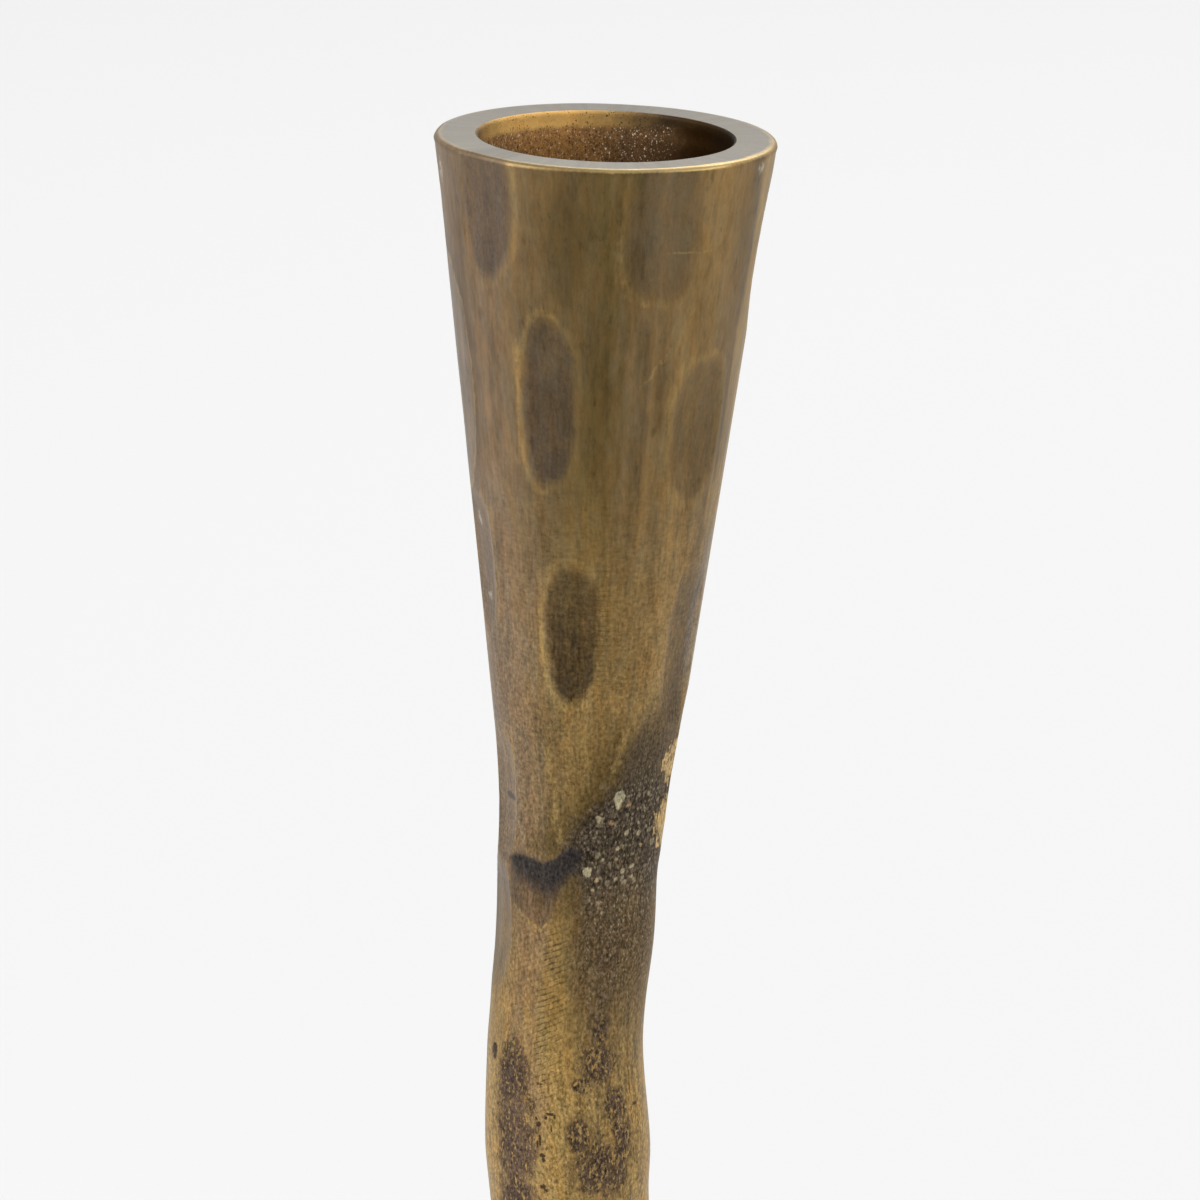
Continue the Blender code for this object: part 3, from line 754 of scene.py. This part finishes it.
    def patches(self, spots):
        """The highest of several spots."""
        highest = self.spot(*spots[0])
        for spot in spots[1:]:
            highest = highest.most(self.spot(*spot))
        return highest

    def bump(self, height, distance):
        return self.node("Bump", {"Distance": distance, "Height": height})

    def attribute(self, name):
        return self.node("Attribute", None, "Fac", attribute_name=name)


# Tones, as linear colours
OLIVE = (0.134, 0.089, 0.032)
UMBER = (0.15, 0.1, 0.042)
BROWN = (0.17, 0.113, 0.055)
ROSE = (0.21, 0.142, 0.084)
GOLD_BROWN = (0.217, 0.138, 0.052)
AMBER = (0.245, 0.158, 0.066)
TAN = (0.285, 0.182, 0.09)
HONEY = (0.332, 0.214, 0.075)
WORN_GOLD = (0.395, 0.27, 0.102)
BARE_BRASS = (0.52, 0.355, 0.145)
POLISHED = (0.76, 0.57, 0.26)
STEEL_GREY = (0.104, 0.083, 0.067)
SOOT = (0.034, 0.026, 0.019)
CINDER = (0.122, 0.095, 0.07)
SCORCH = (0.043, 0.038, 0.037)
FLUX = (0.41, 0.345, 0.22)
RIM_GREY = (0.215, 0.2, 0.172)
SCALE = (0.058, 0.043, 0.036)
PIT = (0.014, 0.011, 0.009)
CHALK = (0.6, 0.545, 0.43)
SMOKE = (0.075, 0.05, 0.017)
HAZE = (0.102, 0.08, 0.06)
RUSTY_FLUX = (0.38, 0.25, 0.135)
DROP_YELLOW = (0.43, 0.37, 0.22)
DROP_GREEN = (0.4, 0.36, 0.23)
STEEL_BROWN = (0.124, 0.087, 0.065)
ASH = (0.168, 0.121, 0.067)
TICK = (0.085, 0.055, 0.024)
# Painted reflection of a flat facet on the cup's left side
FLANK_REFLECTION = (0.232, 0.19, 0.15)
# Painted reflection on the cup's right side
LIMB_REFLECTION = (0.2, 0.165, 0.13)
BARE_DULL = (0.46, 0.335, 0.155)
BARE_BRIGHT = (0.6, 0.43, 0.205)
RIM_BROWN = (0.208, 0.188, 0.152)
# Painted shade in the bore, for the turned band at the mouth
MOUTH_PAINTED_SHADE = (0.046, 0.027, 0.01)
MOUTH_GOLD = (0.84, 0.47, 0.12)
MOUTH_LIGHT = (0.95, 0.64, 0.22)
# Painted shade in the bore, for the scale below the band
RUST_PAINTED_SHADE = (0.03, 0.017, 0.006)
RUST_DARK = (0.24, 0.13, 0.04)
RUST = (0.62, 0.37, 0.14)
FLECK_GOLD = (0.66, 0.38, 0.13)
FLECK_PALE = (0.98, 0.88, 0.7)
STAIN = (0.165, 0.106, 0.062)
FILE_MARK = (0.085, 0.058, 0.022)
NICK = (0.07, 0.045, 0.022)
SCALE_BLACK = (0.062, 0.044, 0.037)
SCALE_BROWN = (0.115, 0.077, 0.06)
FELT_DARK = (0.01, 0.018, 0.012)
FELT_LIGHT = (0.045, 0.062, 0.044)
ZINC_PALE = (0.5, 0.49, 0.45)

# Tones round the piece, by bearing in degrees. The cup's are partly its own patina and partly painted
# reflection: darker and greener at the front, lighter and pinker on the left.
CUP_PATINA_AND_REFLECTION = (
    (-180, BROWN), (-140, GOLD_BROWN), (-105, UMBER), (-75, ROSE), (-45, ROSE), (-28, BROWN),
    (-10, UMBER), (2, OLIVE), (16, BROWN), (34, AMBER), (48, AMBER), (62, BROWN), (78, HONEY),
    (118, OLIVE), (150, ROSE), (180, BROWN),
)
STEM_TONES = (
    (-180, BROWN), (-130, HONEY), (-95, BROWN), (-75, HONEY), (-45, TAN), (-22, TAN), (-9, HONEY),
    (8, GOLD_BROWN), (25, BROWN), (60, GOLD_BROWN), (80, HONEY), (110, BROWN), (150, HONEY),
    (180, BROWN),
)
RIM_SHADE = ((0, 1.08), (80, 1), (180, 0.84))
# How much gold the polished lip shows, by bearing: partly polish and partly painted highlight, strongest at
# the front right
LIP_POLISH_AND_HIGHLIGHT = (
    (-180, 0.2), (-90, 0.12), (-50, 0.1), (-30, 0.22), (-12, 0.46), (4, 0.66), (20, 0.8), (36, 1),
    (60, 0.72), (84, 0.25), (180, 0.2),
)

# The left edge of the soot and its strength, by depth in mm
SOOT_EDGE = (
    (44, 75), (49.5, 45), (50.5, 31), (56.5, 22), (58.5, 12), (60.2, -1), (63, -13), (64.8, -6),
    (66.5, 1), (70.8, -2), (73.5, -4), (76.5, 2), (79.2, 12), (81.5, 25), (86, 60),
)
SOOT_WEIGHT = (
    (44, 0), (48, 0.1), (50.5, 0.38), (53.5, 0.6), (56, 0.68), (58.5, 0.97), (66, 0.92), (68, 0.66),
    (74, 0.58), (78, 0.46), (82, 0.2), (86, 0),
)
# The scorch under the cup, between its top and bottom edges, and the foot of the stain below it, by bearing
SCORCH_TOP = (
    (-62, 64.6), (-57, 64.2), (-47, 63.95), (-39, 63.95), (-32, 64.1), (-26, 64.3), (-19, 63.95),
    (-14, 63.35), (-10, 62.9), (-5, 62.65), (0, 62.9), (8, 63.6),
)
SCORCH_BOTTOM = (
    (-62, 65.1), (-57, 65.6), (-50, 66.2), (-42, 66.6), (-35, 67), (-25, 67.35), (-17, 67.25),
    (-10, 66.6), (-7, 65.9), (-2, 65), (3, 64.5), (8, 64.3),
)
STAIN_FOOT = ((-62, 68.4), (-50, 69), (-26, 70.7), (-19, 69.8), (-13, 67.5), (-8, 65))

# Ridges worn to gold on the lower cup: depths in mm with bearings, half width in degrees, strength
WORN_RIDGES = (
    (((46.5, 46), (48.5, 40), (49.5, 34), (50.7, 28), (52.2, 23), (53.7, 20), (57.5, 16)), 4, 0.75),
    (((52.5, -28), (55.7, -26), (57.2, -23), (59.7, -21), (61.5, -18), (64, -12)), 4.5, 0.65),
    (((50, -9), (53.5, -1), (58, 0)), 4, 0.45),
)

# Patches: bearing, depth in mm, half turn in degrees, half length in mm
FLUX_DROPS = ((23.4, 58.2, 4.5, 0.76), (22.8, 58.75, 2, 0.62), (6.3, 65.1, 3.7, 0.52))
CHALK_SPECKS = ((-75, 34.2, 3, 1), (-71, 41, 5, 0.5), (-77, 2.8, 3, 1.3), (66, 1.3, 2.8, 0.7))
BARE_PATCHES = ((94, 55.7, 30, 2.9), (97, 61.6, 36, 2.8))
SCALE_PATCHES = (
    (-41, 85, 18, 4.4), (-40, 90.5, 22, 6.4), (-41, 98, 21, 7), (-63, 83, 5, 0.9), (27, 79.5, 9, 2.6),
    (26, 83, 18, 2.3), (12, 85, 9, 0.9), (38, 87, 12, 2), (8, 89.8, 10, 2.2), (24, 93, 26, 3.2),
    (42, 90.2, 11, 2.8), (30, 98.5, 24, 2.2),
)
STEM_PITS = (
    (-20, 88.7, 2, 0.42), (-21.5, 88.2, 1.2, 0.3), (-19, 90.2, 1.1, 0.75), (-21, 90.6, 1, 0.4),
    (-18, 91.6, 3, 0.22), (-16.8, 92, 1.6, 0.3), (-18, 94.6, 3.4, 0.3), (-15.5, 94.9, 2, 0.25),
    (-19, 85, 2.8, 0.16), (-11, 87.7, 4, 0.16), (-14.5, 88, 1.4, 0.3), (-8, 87.9, 1.2, 0.34),
    (-10.5, 89, 0.9, 0.5), (58, 87.4, 4, 0.22), (-63, 82.4, 3, 0.3),
)


def brass_grain(f):
    """The textures that cup and stem share, from soft clouds down to hairlines, crumbs and fine grain."""
    cloud, grit = f.texture(420, 240, 4, 0.62), f.texture(900, 900, 4, 0.65)
    hair, crumb = f.texture(3300, 620, 3, 0.6), f.texture(2600, 2200, 4, 0.65)
    return cloud, grit, hair, crumb, f.texture(4200, 2700, 3, 0.62)


def hues(f):
    """Lets the brass wander a little between red and green."""
    hue = f.texture(1000, 210, 4, 0.6)
    f.colour = f.tinted(f.colour, f.mix(f.ease(hue, 0.28, 0.72), (1.05, 0.99, 0.88), (0.95, 1.015, 1.09)))


def blacken(f, grit, hair, crumb, grain):
    """Lays soot, flux and scorch on the joint, and tells how black it is and where the drops are."""
    bearing, depth = f.bearing, f.depth
    ragged = 0.4 * grit + 0.3 * crumb + 0.3 * grain
    past_edge = bearing - f.curve(depth, SOOT_EDGE)
    off = past_edge + 14 * grit.swing
    smoke = f.ease(off, -42, 2) * f.span(depth, 49, 55, 62.5, 66) * f.ease(bearing, 70, 45)
    f.lay(smoke * 0.8, f.scaled(SMOKE, 0.5 + hair))

    # Soot: a smear on the right of the front, a lane below it and a thin ring behind
    smear = f.ease(past_edge + 36 * ragged.swing, -12, 9) * f.ease(bearing + 14 * ragged.swing, 150, 95)
    smear = smear * f.curve(depth, SOOT_WEIGHT)
    ring = f.ease(abs(depth - 65.5 + 12 * ragged.swing), 6.5, 1.5) * f.ease(abs(bearing), 95, 125)
    lane = f.ease(abs(bearing - 25 + 14 * grit.swing), 20, 5) * f.span(depth, 68, 73, 78, 84)
    black = smear.most(ring * 0.85).most(lane * 0.78 * f.ease(ragged, 0.34, 0.52))
    dirt = f.mix(f.ease(0.5 * crumb + 0.5 * grain, 0.38, 0.64), SOOT, CINDER)
    dirt = f.mix(f.ease(depth, 59, 54) * 0.65, dirt, HAZE)
    dirt = f.mix(f.ease(depth, 66, 71), dirt, f.tinted(dirt, (1.18, 1.08, 0.98)))
    f.lay(black * (0.66 + 0.5 * ragged), f.scaled(dirt, 0.53 + 1.1 * hair))

    # Dots of flux: cells per mm, squeeze along the stem, least and greatest size, share left out, strength
    heart = f.ease(abs(bearing - 35 + 30 * grit.swing), 36, 22) * f.span(depth, 56.5, 59, 65, 70)
    wide = f.ease(off, 0, 12) * f.ease(bearing, 95, 70) * f.span(depth, 51, 57.5, 70, 84)
    for per_mm, squeeze, least, most, skip, strength, zone in (
        (0.66, 0.95, 0.12, 0.2, 0.3, 0.95, heart),
        (1.1, 0.95, 0.15, 0.28, 0.45, 0.92, heart),
        (2.3, 0.75, 0.13, 0.26, 0.52, 0.46, wide),
        (3.9, 0.55, 0.16, 0.4, 0.36, 0.45, wide),
    ):
        distance, size, luck = f.scatter((depth + 0.3 * crumb.swing) * squeeze, per_mm)
        radius = least + (most - least) * size * size + 0.15 * crumb.swing * per_mm**0.5
        dot = f.ease(distance - radius, 0.07, -0.07) * f.ease(luck, skip, skip + 0.4)
        tone = f.scaled(f.mix(f.ease(luck, 0.94, 0.88), RUSTY_FLUX, FLUX), 0.66 + 0.78 * crumb)
        f.lay(dot * zone * strength * f.ease(grit, 0.24, 0.46), tone)

    # The blue-black scorch just under the cup
    upper = f.ease(depth - f.curve(bearing, SCORCH_TOP) + 0.9 * ragged.swing, -0.15, 0.5)
    lower = f.ease(f.curve(bearing, SCORCH_BOTTOM) - depth + 4 * ragged.swing, -1.1, 1.35)
    ends = f.ease(bearing + 9 * ragged.swing, -61, -52) * f.ease(bearing + 12 * ragged.swing, 9, -3)
    mark = upper * lower * ends
    f.lay(mark * (0.72 + 0.45 * hair), f.scaled(SCORCH, 0.4 + 0.9 * grain + 0.3 * hair))
    drops = f.ease(f.patches(FLUX_DROPS) + 1.8 * crumb.swing, 0, 0.45)
    f.lay(drops * 0.9, f.scaled(f.mix(crumb, DROP_YELLOW, DROP_GREEN), 0.75 + 0.65 * crumb))
    return black.most(mark), drops


def dents(f, streak, ragged, shade):
    """Hammer marks: a darker core inside a thin worn outline."""
    inset, dark, grey, worn = [f.attribute("mark_" + name) for name in MARK_LOOKS]
    wander = 1.1 * streak.swing + 1.1 * ragged.swing
    patchy = 0.82 + 0.35 * f.ease(ragged + streak, 0.85, 1.15)
    core = f.ease(inset + 1.15 * wander, 0.05, 1.3) * dark * patchy
    steel = f.scaled(f.mix(streak, STEEL_GREY, STEEL_BROWN), shade)
    f.lay(core, f.mix(grey, f.scaled(f.colour, 0.28), steel))
    broken = f.ease(ragged + 0.6 * streak, 0.5, 1.05)
    line = f.ease(abs(inset + 0.12 + 0.9 * wander), 0.58, 0.04) * worn * broken
    f.lay(line, f.scaled(f.mix(streak, HONEY, WORN_GOLD), 0.35 + 0.7 * shade))
    return core, line


def cup_brass():
    f = Finish("cup_patina")
    bearing, depth = f.surface()
    broad = f.streaks(3.2, 0.07, 3, 0.55)
    swath = f.streaks(7.5, 0.05, 2, 0.5)
    streak = f.streaks(17, 0.22, 4, 0.62)
    weave = f.streaks(17, 3.4, 2, 0.55)
    blot = f.texture(1300, 520, 3, 0.6)
    cloud, grit, hair, crumb, grain = brass_grain(f)
    lower = f.ease(depth, 20, 48)
    middle = f.ease(abs(bearing - 6), 36, 12)

    # Tones by bearing, partly painted reflection: darker at the front, lighter on the left
    f.colour = f.tones(bearing + 30 * broad.swing + 14 * streak.swing + 20 * swath.swing, CUP_PATINA_AND_REFLECTION)
    f.lay(lower * middle * 0.9, GOLD_BROWN)
    shade = 1.04 + 0.16 * lower - 0.1 * f.ease(depth, 50, 58)
    shade = shade + 0.7 * streak.swing + 0.6 * hair.swing + 0.7 * cloud.swing + 0.85 * swath.swing
    shade = shade + (1.15 * weave.swing + 0.6 * hair.swing) * f.ease(depth, 22, 42)
    shade = shade - 0.18 * f.ease(blot, 0.42, 0.3)
    f.dim(shade)
    core, line = dents(f, streak, 0.6 * grit + 0.4 * crumb, shade)
    worn = f.ease(streak * 0.45 + weave * 0.55 + 0.3 * crumb.swing, 0.55, 0.68) * f.ease(depth, 30, 52)
    f.lay(worn * (1 - core) * 0.5, HONEY)
    ash = f.ease(f.spot(23.5, 4, 13, 9) + 0.5 * streak.swing, 0, 0.6)
    f.lay(ash * 0.62, f.scaled(ASH, 0.45 + 0.55 * shade))
    # Darker, greener tone at the upper front: partly patina and partly painted reflection
    front_olive_and_reflection = f.ease(cloud + 0.5 * broad.swing, 0.52, 0.7) * middle
    f.lay(front_olive_and_reflection * 0.35 * (1 - lower), OLIVE)
    dusk = f.ease(f.spot(-14, 7.5, 9, 7) + 1.2 * streak.swing, 0, 0.8)
    f.dim(1 - 0.24 * dusk * (1 - core))
    hues(f)

    # Small marks on the wall
    ticks = f.ease((depth * 13.5 + 5 * grit.swing).sine() + 2.4 * crumb.swing, 0.35, 1)
    ticks = ticks * f.ease(f.spot(4.5, 43, 6.5, 6.5) + 0.8 * grit.swing, 0, 0.7)
    f.lay(ticks * 0.4, TICK)
    stripe = f.ease(abs(bearing + 54 + 7 * broad.swing), 2.6, 0.6) * f.span(depth, 51.5, 55, 60, 63)
    f.lay(stripe * f.ease(hair, 0.3, 0.6) * 0.7, WORN_GOLD)
    scratch = f.ease(abs(depth - 8.4 + 0.015 * bearing + 1.6 * broad.swing), 0.16, 0.03)
    scratch = scratch * f.ease(abs(bearing - 33), 13, 6) * f.ease(crumb, 0.4, 0.62)
    f.lay(scratch * 0.4, WORN_GOLD)
    # A flat facet on the cup's left side, in colour only: its grey is painted reflection, with a worn gold
    # line round its edge and darker just outside it
    reflected_facet = f.spot(-83, 21, 20, 10.5) + 0.5 * streak.swing + 0.3 * grit.swing
    f.lay(f.ease(reflected_facet, 0, 0.2) * 0.5, f.scaled(FLANK_REFLECTION, shade))
    f.lay(f.ease(abs(reflected_facet), 0.12, 0.02) * 0.35, f.scaled(WORN_GOLD, shade))
    f.dim(1 - 0.22 * f.span(reflected_facet, -0.75, -0.15, -0.1, 0))
    cross = f.ease(abs(depth - 19.5 + 0.26 * (bearing - 18) + 2.2 * grit.swing), 0.42, 0.06)
    cross = cross * f.ease(abs(bearing - 25), 10, 4) * f.ease(crumb, 0.35, 0.6)
    f.lay(cross * 0.38, WORN_GOLD)
    # A grey strip on the cup's right side: painted reflection
    limb_reflection = f.ease(f.spot(75, 41.5, 9, 9) + 1.2 * streak.swing, 0, 0.6)
    f.lay(limb_reflection * 0.6, f.scaled(LIMB_REFLECTION, shade))
    black, drops = blacken(f, grit, hair, crumb, grain)
    for path, width, strength in WORN_RIDGES:
        (top, _), (bottom, _) = path[0], path[-1]
        ridge = f.ease(abs(bearing - f.curve(depth, path) + 9 * grit.swing), width, 0.15 * width)
        ridge = ridge * f.span(depth, top, top + 2, bottom - 2, bottom) * strength
        ridge = ridge * f.ease(crumb + 0.6 * streak, 0.5, 1) * (1 - black)
        f.lay(ridge, f.scaled(WORN_GOLD, 0.45 + 0.9 * hair))
    smudge = f.ease(f.spot(-64, 59.3, 11, 0.4) + 2 * crumb.swing, 0, 0.6)
    f.lay(smudge * 0.75, SCORCH)
    f.lay(f.ease(f.patches(CHALK_SPECKS) + 4.5 * crumb.swing, 0.1, 1.2) * 0.55, CHALK)
    bare = f.patches(BARE_PATCHES) + 1.6 * grit.swing + 1.3 * crumb.swing + 1.8 * hair.swing
    f.lay(f.ease(bare, -0.05, 0.2), f.scaled(f.mix(streak, BARE_DULL, BARE_BRIGHT), 0.4 + 1.15 * hair))
    fine = 0.35 + 1.75 * f.ease(depth, 28, 58) + 0.5 * core + 0.9 * black
    f.dim(1 + fine * grain.swing)

    # Rim and lip
    flat, lip, inner = f.attribute("rim_flat"), f.attribute("rim_lip"), f.attribute("bore")
    sheen = f.texture(420, 420, 3, 0.6)
    satin = f.mix(f.ease(sheen, 0.3, 0.7), RIM_GREY, RIM_BROWN)
    satin = f.scaled(satin, (0.8 + 0.3 * sheen + 0.12 * grain) * f.curve(abs(bearing), RIM_SHADE))
    f.lay(f.ease(flat, 0.2, 0.9), satin)
    # The lip's gold is partly polish and partly painted highlight, widest where the rim dips near 34
    # degrees and strongest at the front right
    dip = 1 + 0.8 * f.ease(abs(bearing - 34), 13, 4)
    edge = f.ease(lip * dip + sheen.swing + 0.8 * crumb.swing, 0.3, 0.95) * f.ease(lip, 0, 0.2)
    edge = edge * f.curve(bearing, LIP_POLISH_AND_HIGHLIGHT)
    f.lay(edge, f.mix(sheen, WORN_GOLD, POLISHED))

    # Bore: a turned band at the mouth, and scale below it, both with painted shade away from the back left,
    # where light falls in, and darker towards the front
    inner = f.ease(inner, 0.3, 0.8)
    turn = bearing + 16 * grit.swing
    left = f.ease(abs(turn + 130), 100, 40).most(f.ease(turn, 132, 178))
    lit = f.ease(abs(turn + 137), 72, 15).most(f.ease(turn, 148, 212))
    band = f.ease(depth + 0.6 * grit.swing + 0.4 * crumb.swing + 0.7 * (1 - left), 1.75, 1.1)
    # Painted shade: the band goes dark where lit falls away, and darker towards the front of the bore
    gold = f.mix(lit, MOUTH_PAINTED_SHADE, f.mix(sheen, MOUTH_GOLD, MOUTH_LIGHT))
    gold = f.scaled(gold, 0.35 + 0.8 * cloud + 0.35 * crumb + 0.35 * grain)
    gold = f.tinted(f.scaled(gold, 0.42 + 0.58 * f.ease(abs(bearing), 98, 138)), (0.98, 0.92, 0.85))
    rust = f.mix(f.ease(0.5 * crumb + 0.3 * grain + 0.2 * cloud, 0.34, 0.64), RUST_DARK, RUST)
    # Painted shade on the scale, as on the band
    rust = f.mix(lit.most(0.3 * left), RUST_PAINTED_SHADE, rust)
    rust = f.tinted(f.scaled(rust, 0.55 + 0.45 * f.ease(abs(bearing), 95, 150)), (0.98, 0.8, 0.56))
    fleck = f.texture(6600, 5200, 2, 0.6)
    chips = f.ease(left + 0.6 * sheen.swing, 0.05, 0.75)
    rust = f.mix(f.ease(fleck, 0.42, 0.35) * chips * 0.9, rust, PIT)
    bright = f.mix(f.ease(crumb, 0.44, 0.56), FLECK_GOLD, FLECK_PALE)
    rust = f.mix(f.ease(fleck, 0.62, 0.68) * chips * f.ease(grit, 0.26, 0.46), rust, bright)
    speck = f.ease(fleck, 0.39, 0.34) * f.ease(grit, 0.42, 0.52)
    f.lay(inner, f.mix(band, rust, f.mix(speck, gold, PIT)))

    rough = 0.36 + 0.18 * streak + 0.08 * core + 0.22 * black - 0.12 * line + 0.2 * grain.swing
    rough = rough - 0.08 * edge + 0.1 * flat + 0.2 * inner
    height = 0.5 * streak + 0.35 * hair + 0.5 * weave * f.ease(depth, 20, 40) + 0.3 * grain
    height = height + 0.8 * crumb * black + 1.2 * drops + 1.5 * crumb * inner
    metal = (1 - 0.8 * inner * left) * (1 - 0.5 * drops)
    return f.wear(Roughness=rough, Metallic=metal, Normal=f.bump(height, 0.03 * MM))


def stem_brass(name="stem_patina"):
    f = Finish(name)
    bearing, depth = f.surface()
    broad = f.streaks(2.4, 0.09, 3, 0.55)
    streak = f.streaks(12, 0.2, 4, 0.63)
    bark = f.texture(3000, 1100, 4, 0.7)
    cloud, grit, hair, crumb, grain = brass_grain(f)

    f.colour = f.tones(bearing + 22 * broad.swing + 10 * streak.swing, STEM_TONES)
    golden = f.ease(depth, 70, 82)
    f.lay(golden * f.ease(streak + 0.4 * broad, 0.54, 0.85) * 0.8, HONEY)
    # Just under the cup the stem takes the cup's tones, with their painted reflection
    near_cup = f.tones(bearing + 14 * streak.swing, CUP_PATINA_AND_REFLECTION)
    f.lay(f.ease(depth + 2.5 * grit.swing, 72, 66), f.scaled(near_cup, 1.2))
    shade = 0.86 + 0.22 * golden + 0.8 * streak.swing + 0.9 * hair.swing + 0.7 * cloud.swing
    f.dim(shade)
    stain = f.curve(bearing, STAIN_FOOT) - depth + 0.9 * crumb.swing
    under = f.span(bearing, -60, -51, -15, -10) * f.ease(depth, 65.5, 66.5)
    f.lay(f.ease(stain, -0.05, 0.4) * under * 0.8, f.scaled(STAIN, shade))
    brim = f.ease(abs(stain + 0.1), 0.22, 0.04) * f.span(bearing, -50, -42, -22, -16)
    f.lay(brim * 0.55, WORN_GOLD)

    # File marks climb to the right across the front
    beat = ((depth + 0.06 * bearing) * 11.5 + 4 * grit.swing + 6 * cloud.swing).sine()
    front = 0.66 * f.ease(abs(bearing + 12), 16, 4) + 0.24 * f.ease(abs(bearing + 36), 24, 12)
    lines = f.ease(beat + 3 * crumb.swing + 3 * grit.swing, 0.15, 1.35)
    lines = lines * front * f.span(depth, 68.5, 71.5, 83, 91)
    f.lay(lines, f.scaled(FILE_MARK, shade))
    _, line = dents(f, streak, 0.6 * grit + 0.4 * crumb, shade)
    hues(f)
    black, drops = blacken(f, grit, hair, crumb, grain)

    # Worn to gold in flecks, dark where the scale is left
    aged = f.ease(depth, 79, 87) * (1 - black)
    flecks = f.ease(bark + 0.5 * grain.swing, 0.53, 0.68) * aged
    f.dim(1 + 0.12 * aged)
    f.lay(flecks * 0.85, f.mix(grain, HONEY, BARE_BRASS))
    nicks = f.ease(bark + 0.6 * crumb.swing, 0.4, 0.28) * aged
    f.lay(nicks * 0.65, NICK)
    shown = f.patches(SCALE_PATCHES)
    below = 3.2 * (f.streaks(1.7, 0.09, 3, 0.55) - 0.52)
    field = (1.3 * shown.most(below - 3 * f.ease(depth, 108, 98))).most(-1.1)
    scale = f.ease(field + 3.6 * bark.swing + 3 * grit.swing + 2.2 * grain.swing, -0.05, 0.85)
    scale = scale * f.ease(depth, 77.5, 80.5)
    dark = f.scaled(f.mix(f.ease(broad, 0.35, 0.65), SCALE_BLACK, SCALE_BROWN), 0.35 + 1.3 * hair)
    f.lay(scale * (0.7 + 0.4 * hair), dark)
    spark = 0.6 * bark + 0.4 * grain + 0.18 * grit.swing + 0.035 * f.ease(bearing, -12, 8)
    spark = f.ease(spark, 0.525, 0.625) * scale
    f.lay(spark * 0.78, f.mix(hair, HONEY, WORN_GOLD))
    pits = f.ease(f.patches(STEM_PITS) + 3 * crumb.swing + 3 * grain.swing, 0.1, 0.9)
    f.lay(pits * 0.85, PIT)
    fine = 2.1 + 0.9 * black + 0.9 * scale + 0.7 * aged
    f.dim(1 + fine * grain.swing)

    rough = 0.36 + 0.18 * streak + 0.2 * black + 0.18 * scale - 0.1 * line + 0.2 * grain.swing
    height = 0.6 * streak + 0.4 * hair - 0.8 * lines + 0.8 * bark * scale + 0.4 * grain
    height = height - 1.4 * pits + 1.2 * drops + 0.6 * crumb * black
    return f.wear(Roughness=rough, Metallic=1 - 0.5 * drops, Normal=f.bump(height, 0.04 * MM))


def foot_brass():
    f = Finish("foot_patina", {"Metallic": 1})
    broad = f.texture(60, 60, 3, 0.55)
    cloud = f.texture(230, 230, 4, 0.6)
    brushed = f.texture(900, 5000, 3, 0.6)
    grit = f.texture(1400, 1400, 4, 0.65)
    f.colour = f.mix(f.ease(broad, 0.38, 0.6), UMBER, GOLD_BROWN)
    f.lay(f.ease(cloud, 0.48, 0.7) * 0.6, ROSE)
    f.dim(0.4 + 0.6 * cloud + 0.6 * brushed)
    core, line = dents(f, cloud, grit, 0.5 + cloud)
    height = f.node("SeparateXYZ", {0: f.place()}, 2)
    rim = f.ease(height, 0.0098, 0.008) * f.ease(cloud, 0.3, 0.6)
    f.lay(rim * 0.55, WORN_GOLD)
    dark = f.ease(grit * 0.5 + cloud * 0.5, 0.58, 0.68)
    f.lay(dark * 0.6, SCALE)
    rough = 0.38 + 0.16 * cloud + 0.1 * core - 0.1 * line
    return f.wear(Roughness=rough, Normal=f.bump(0.6 * brushed + 0.5 * cloud, 0.03 * MM))


def foot_braze():
    f = Finish("foot_braze", {"Metallic": 1})
    cloud = f.texture(500, 500, 4, 0.6)
    grit = f.texture(1600, 1600, 4, 0.65)
    f.colour = f.mix(f.ease(cloud, 0.35, 0.65), SOOT, GOLD_BROWN)
    f.lay(f.ease(grit, 0.55, 0.7) * 0.6, WORN_GOLD)
    return f.wear(Roughness=0.42 + 0.25 * grit, Normal=f.bump(cloud, 0.06 * MM))


def felt_wool():
    f = Finish("felt_wool", {"Sheen Weight": 0.4, "Sheen Roughness": 0.6, "Specular IOR Level": 0.1})
    fibre = f.texture(3200, 3200, 4, 0.7, 0.6)
    cloud = f.texture(160, 160, 3, 0.55)
    f.colour = f.mix(fibre, FELT_DARK, FELT_LIGHT)
    f.dim(0.7 + 0.6 * cloud)
    return f.wear(Roughness=0.88 + 0.1 * cloud, Normal=f.bump(fibre, 0.12 * MM))


def zinc_plate(name, tone):
    f = Finish(name, {"Metallic": 1})
    spangle = f.texture(700, 700, 4, 0.6)
    turned = f.texture(300, 6000, 2, 0.5)
    f.colour = f.scaled(f.mix(spangle, tone, ZINC_PALE), 0.75 + 0.3 * spangle + 0.2 * turned)
    return f.wear(Roughness=0.28 + 0.22 * spangle, Normal=f.bump(turned, 0.01 * MM))


stage()
studio()
camera()

for piece, node, slot, finish in (
    (candle_cup(), "candle_cup", "cup_brass", cup_brass()),
    (cup_seam(), "cup_seam", "braze", stem_brass("seam_patina")),
    (stem(), "stem", "stem_brass", stem_brass()),
    (foot(), "foot", "foot_brass", foot_brass()),
    (foot_seam(), "foot_seam", "foot_brass", foot_braze()),
    (felt(), "felt_pad", "felt", felt_wool()),
):
    piece.data.materials.append(finish)
    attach(piece, "root")
    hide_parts(node)

for node, tone in (
    ("cup_stud", (0.42, 0.42, 0.41)),
    ("foot_screw", (0.36, 0.37, 0.38)),
    ("spring_washer", (0.3, 0.3, 0.3)),
    ("plain_washer", (0.52, 0.5, 0.43)),
):
    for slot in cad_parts[node].material_slots:
        slot.material = zinc_plate(node + "_zinc", tone)
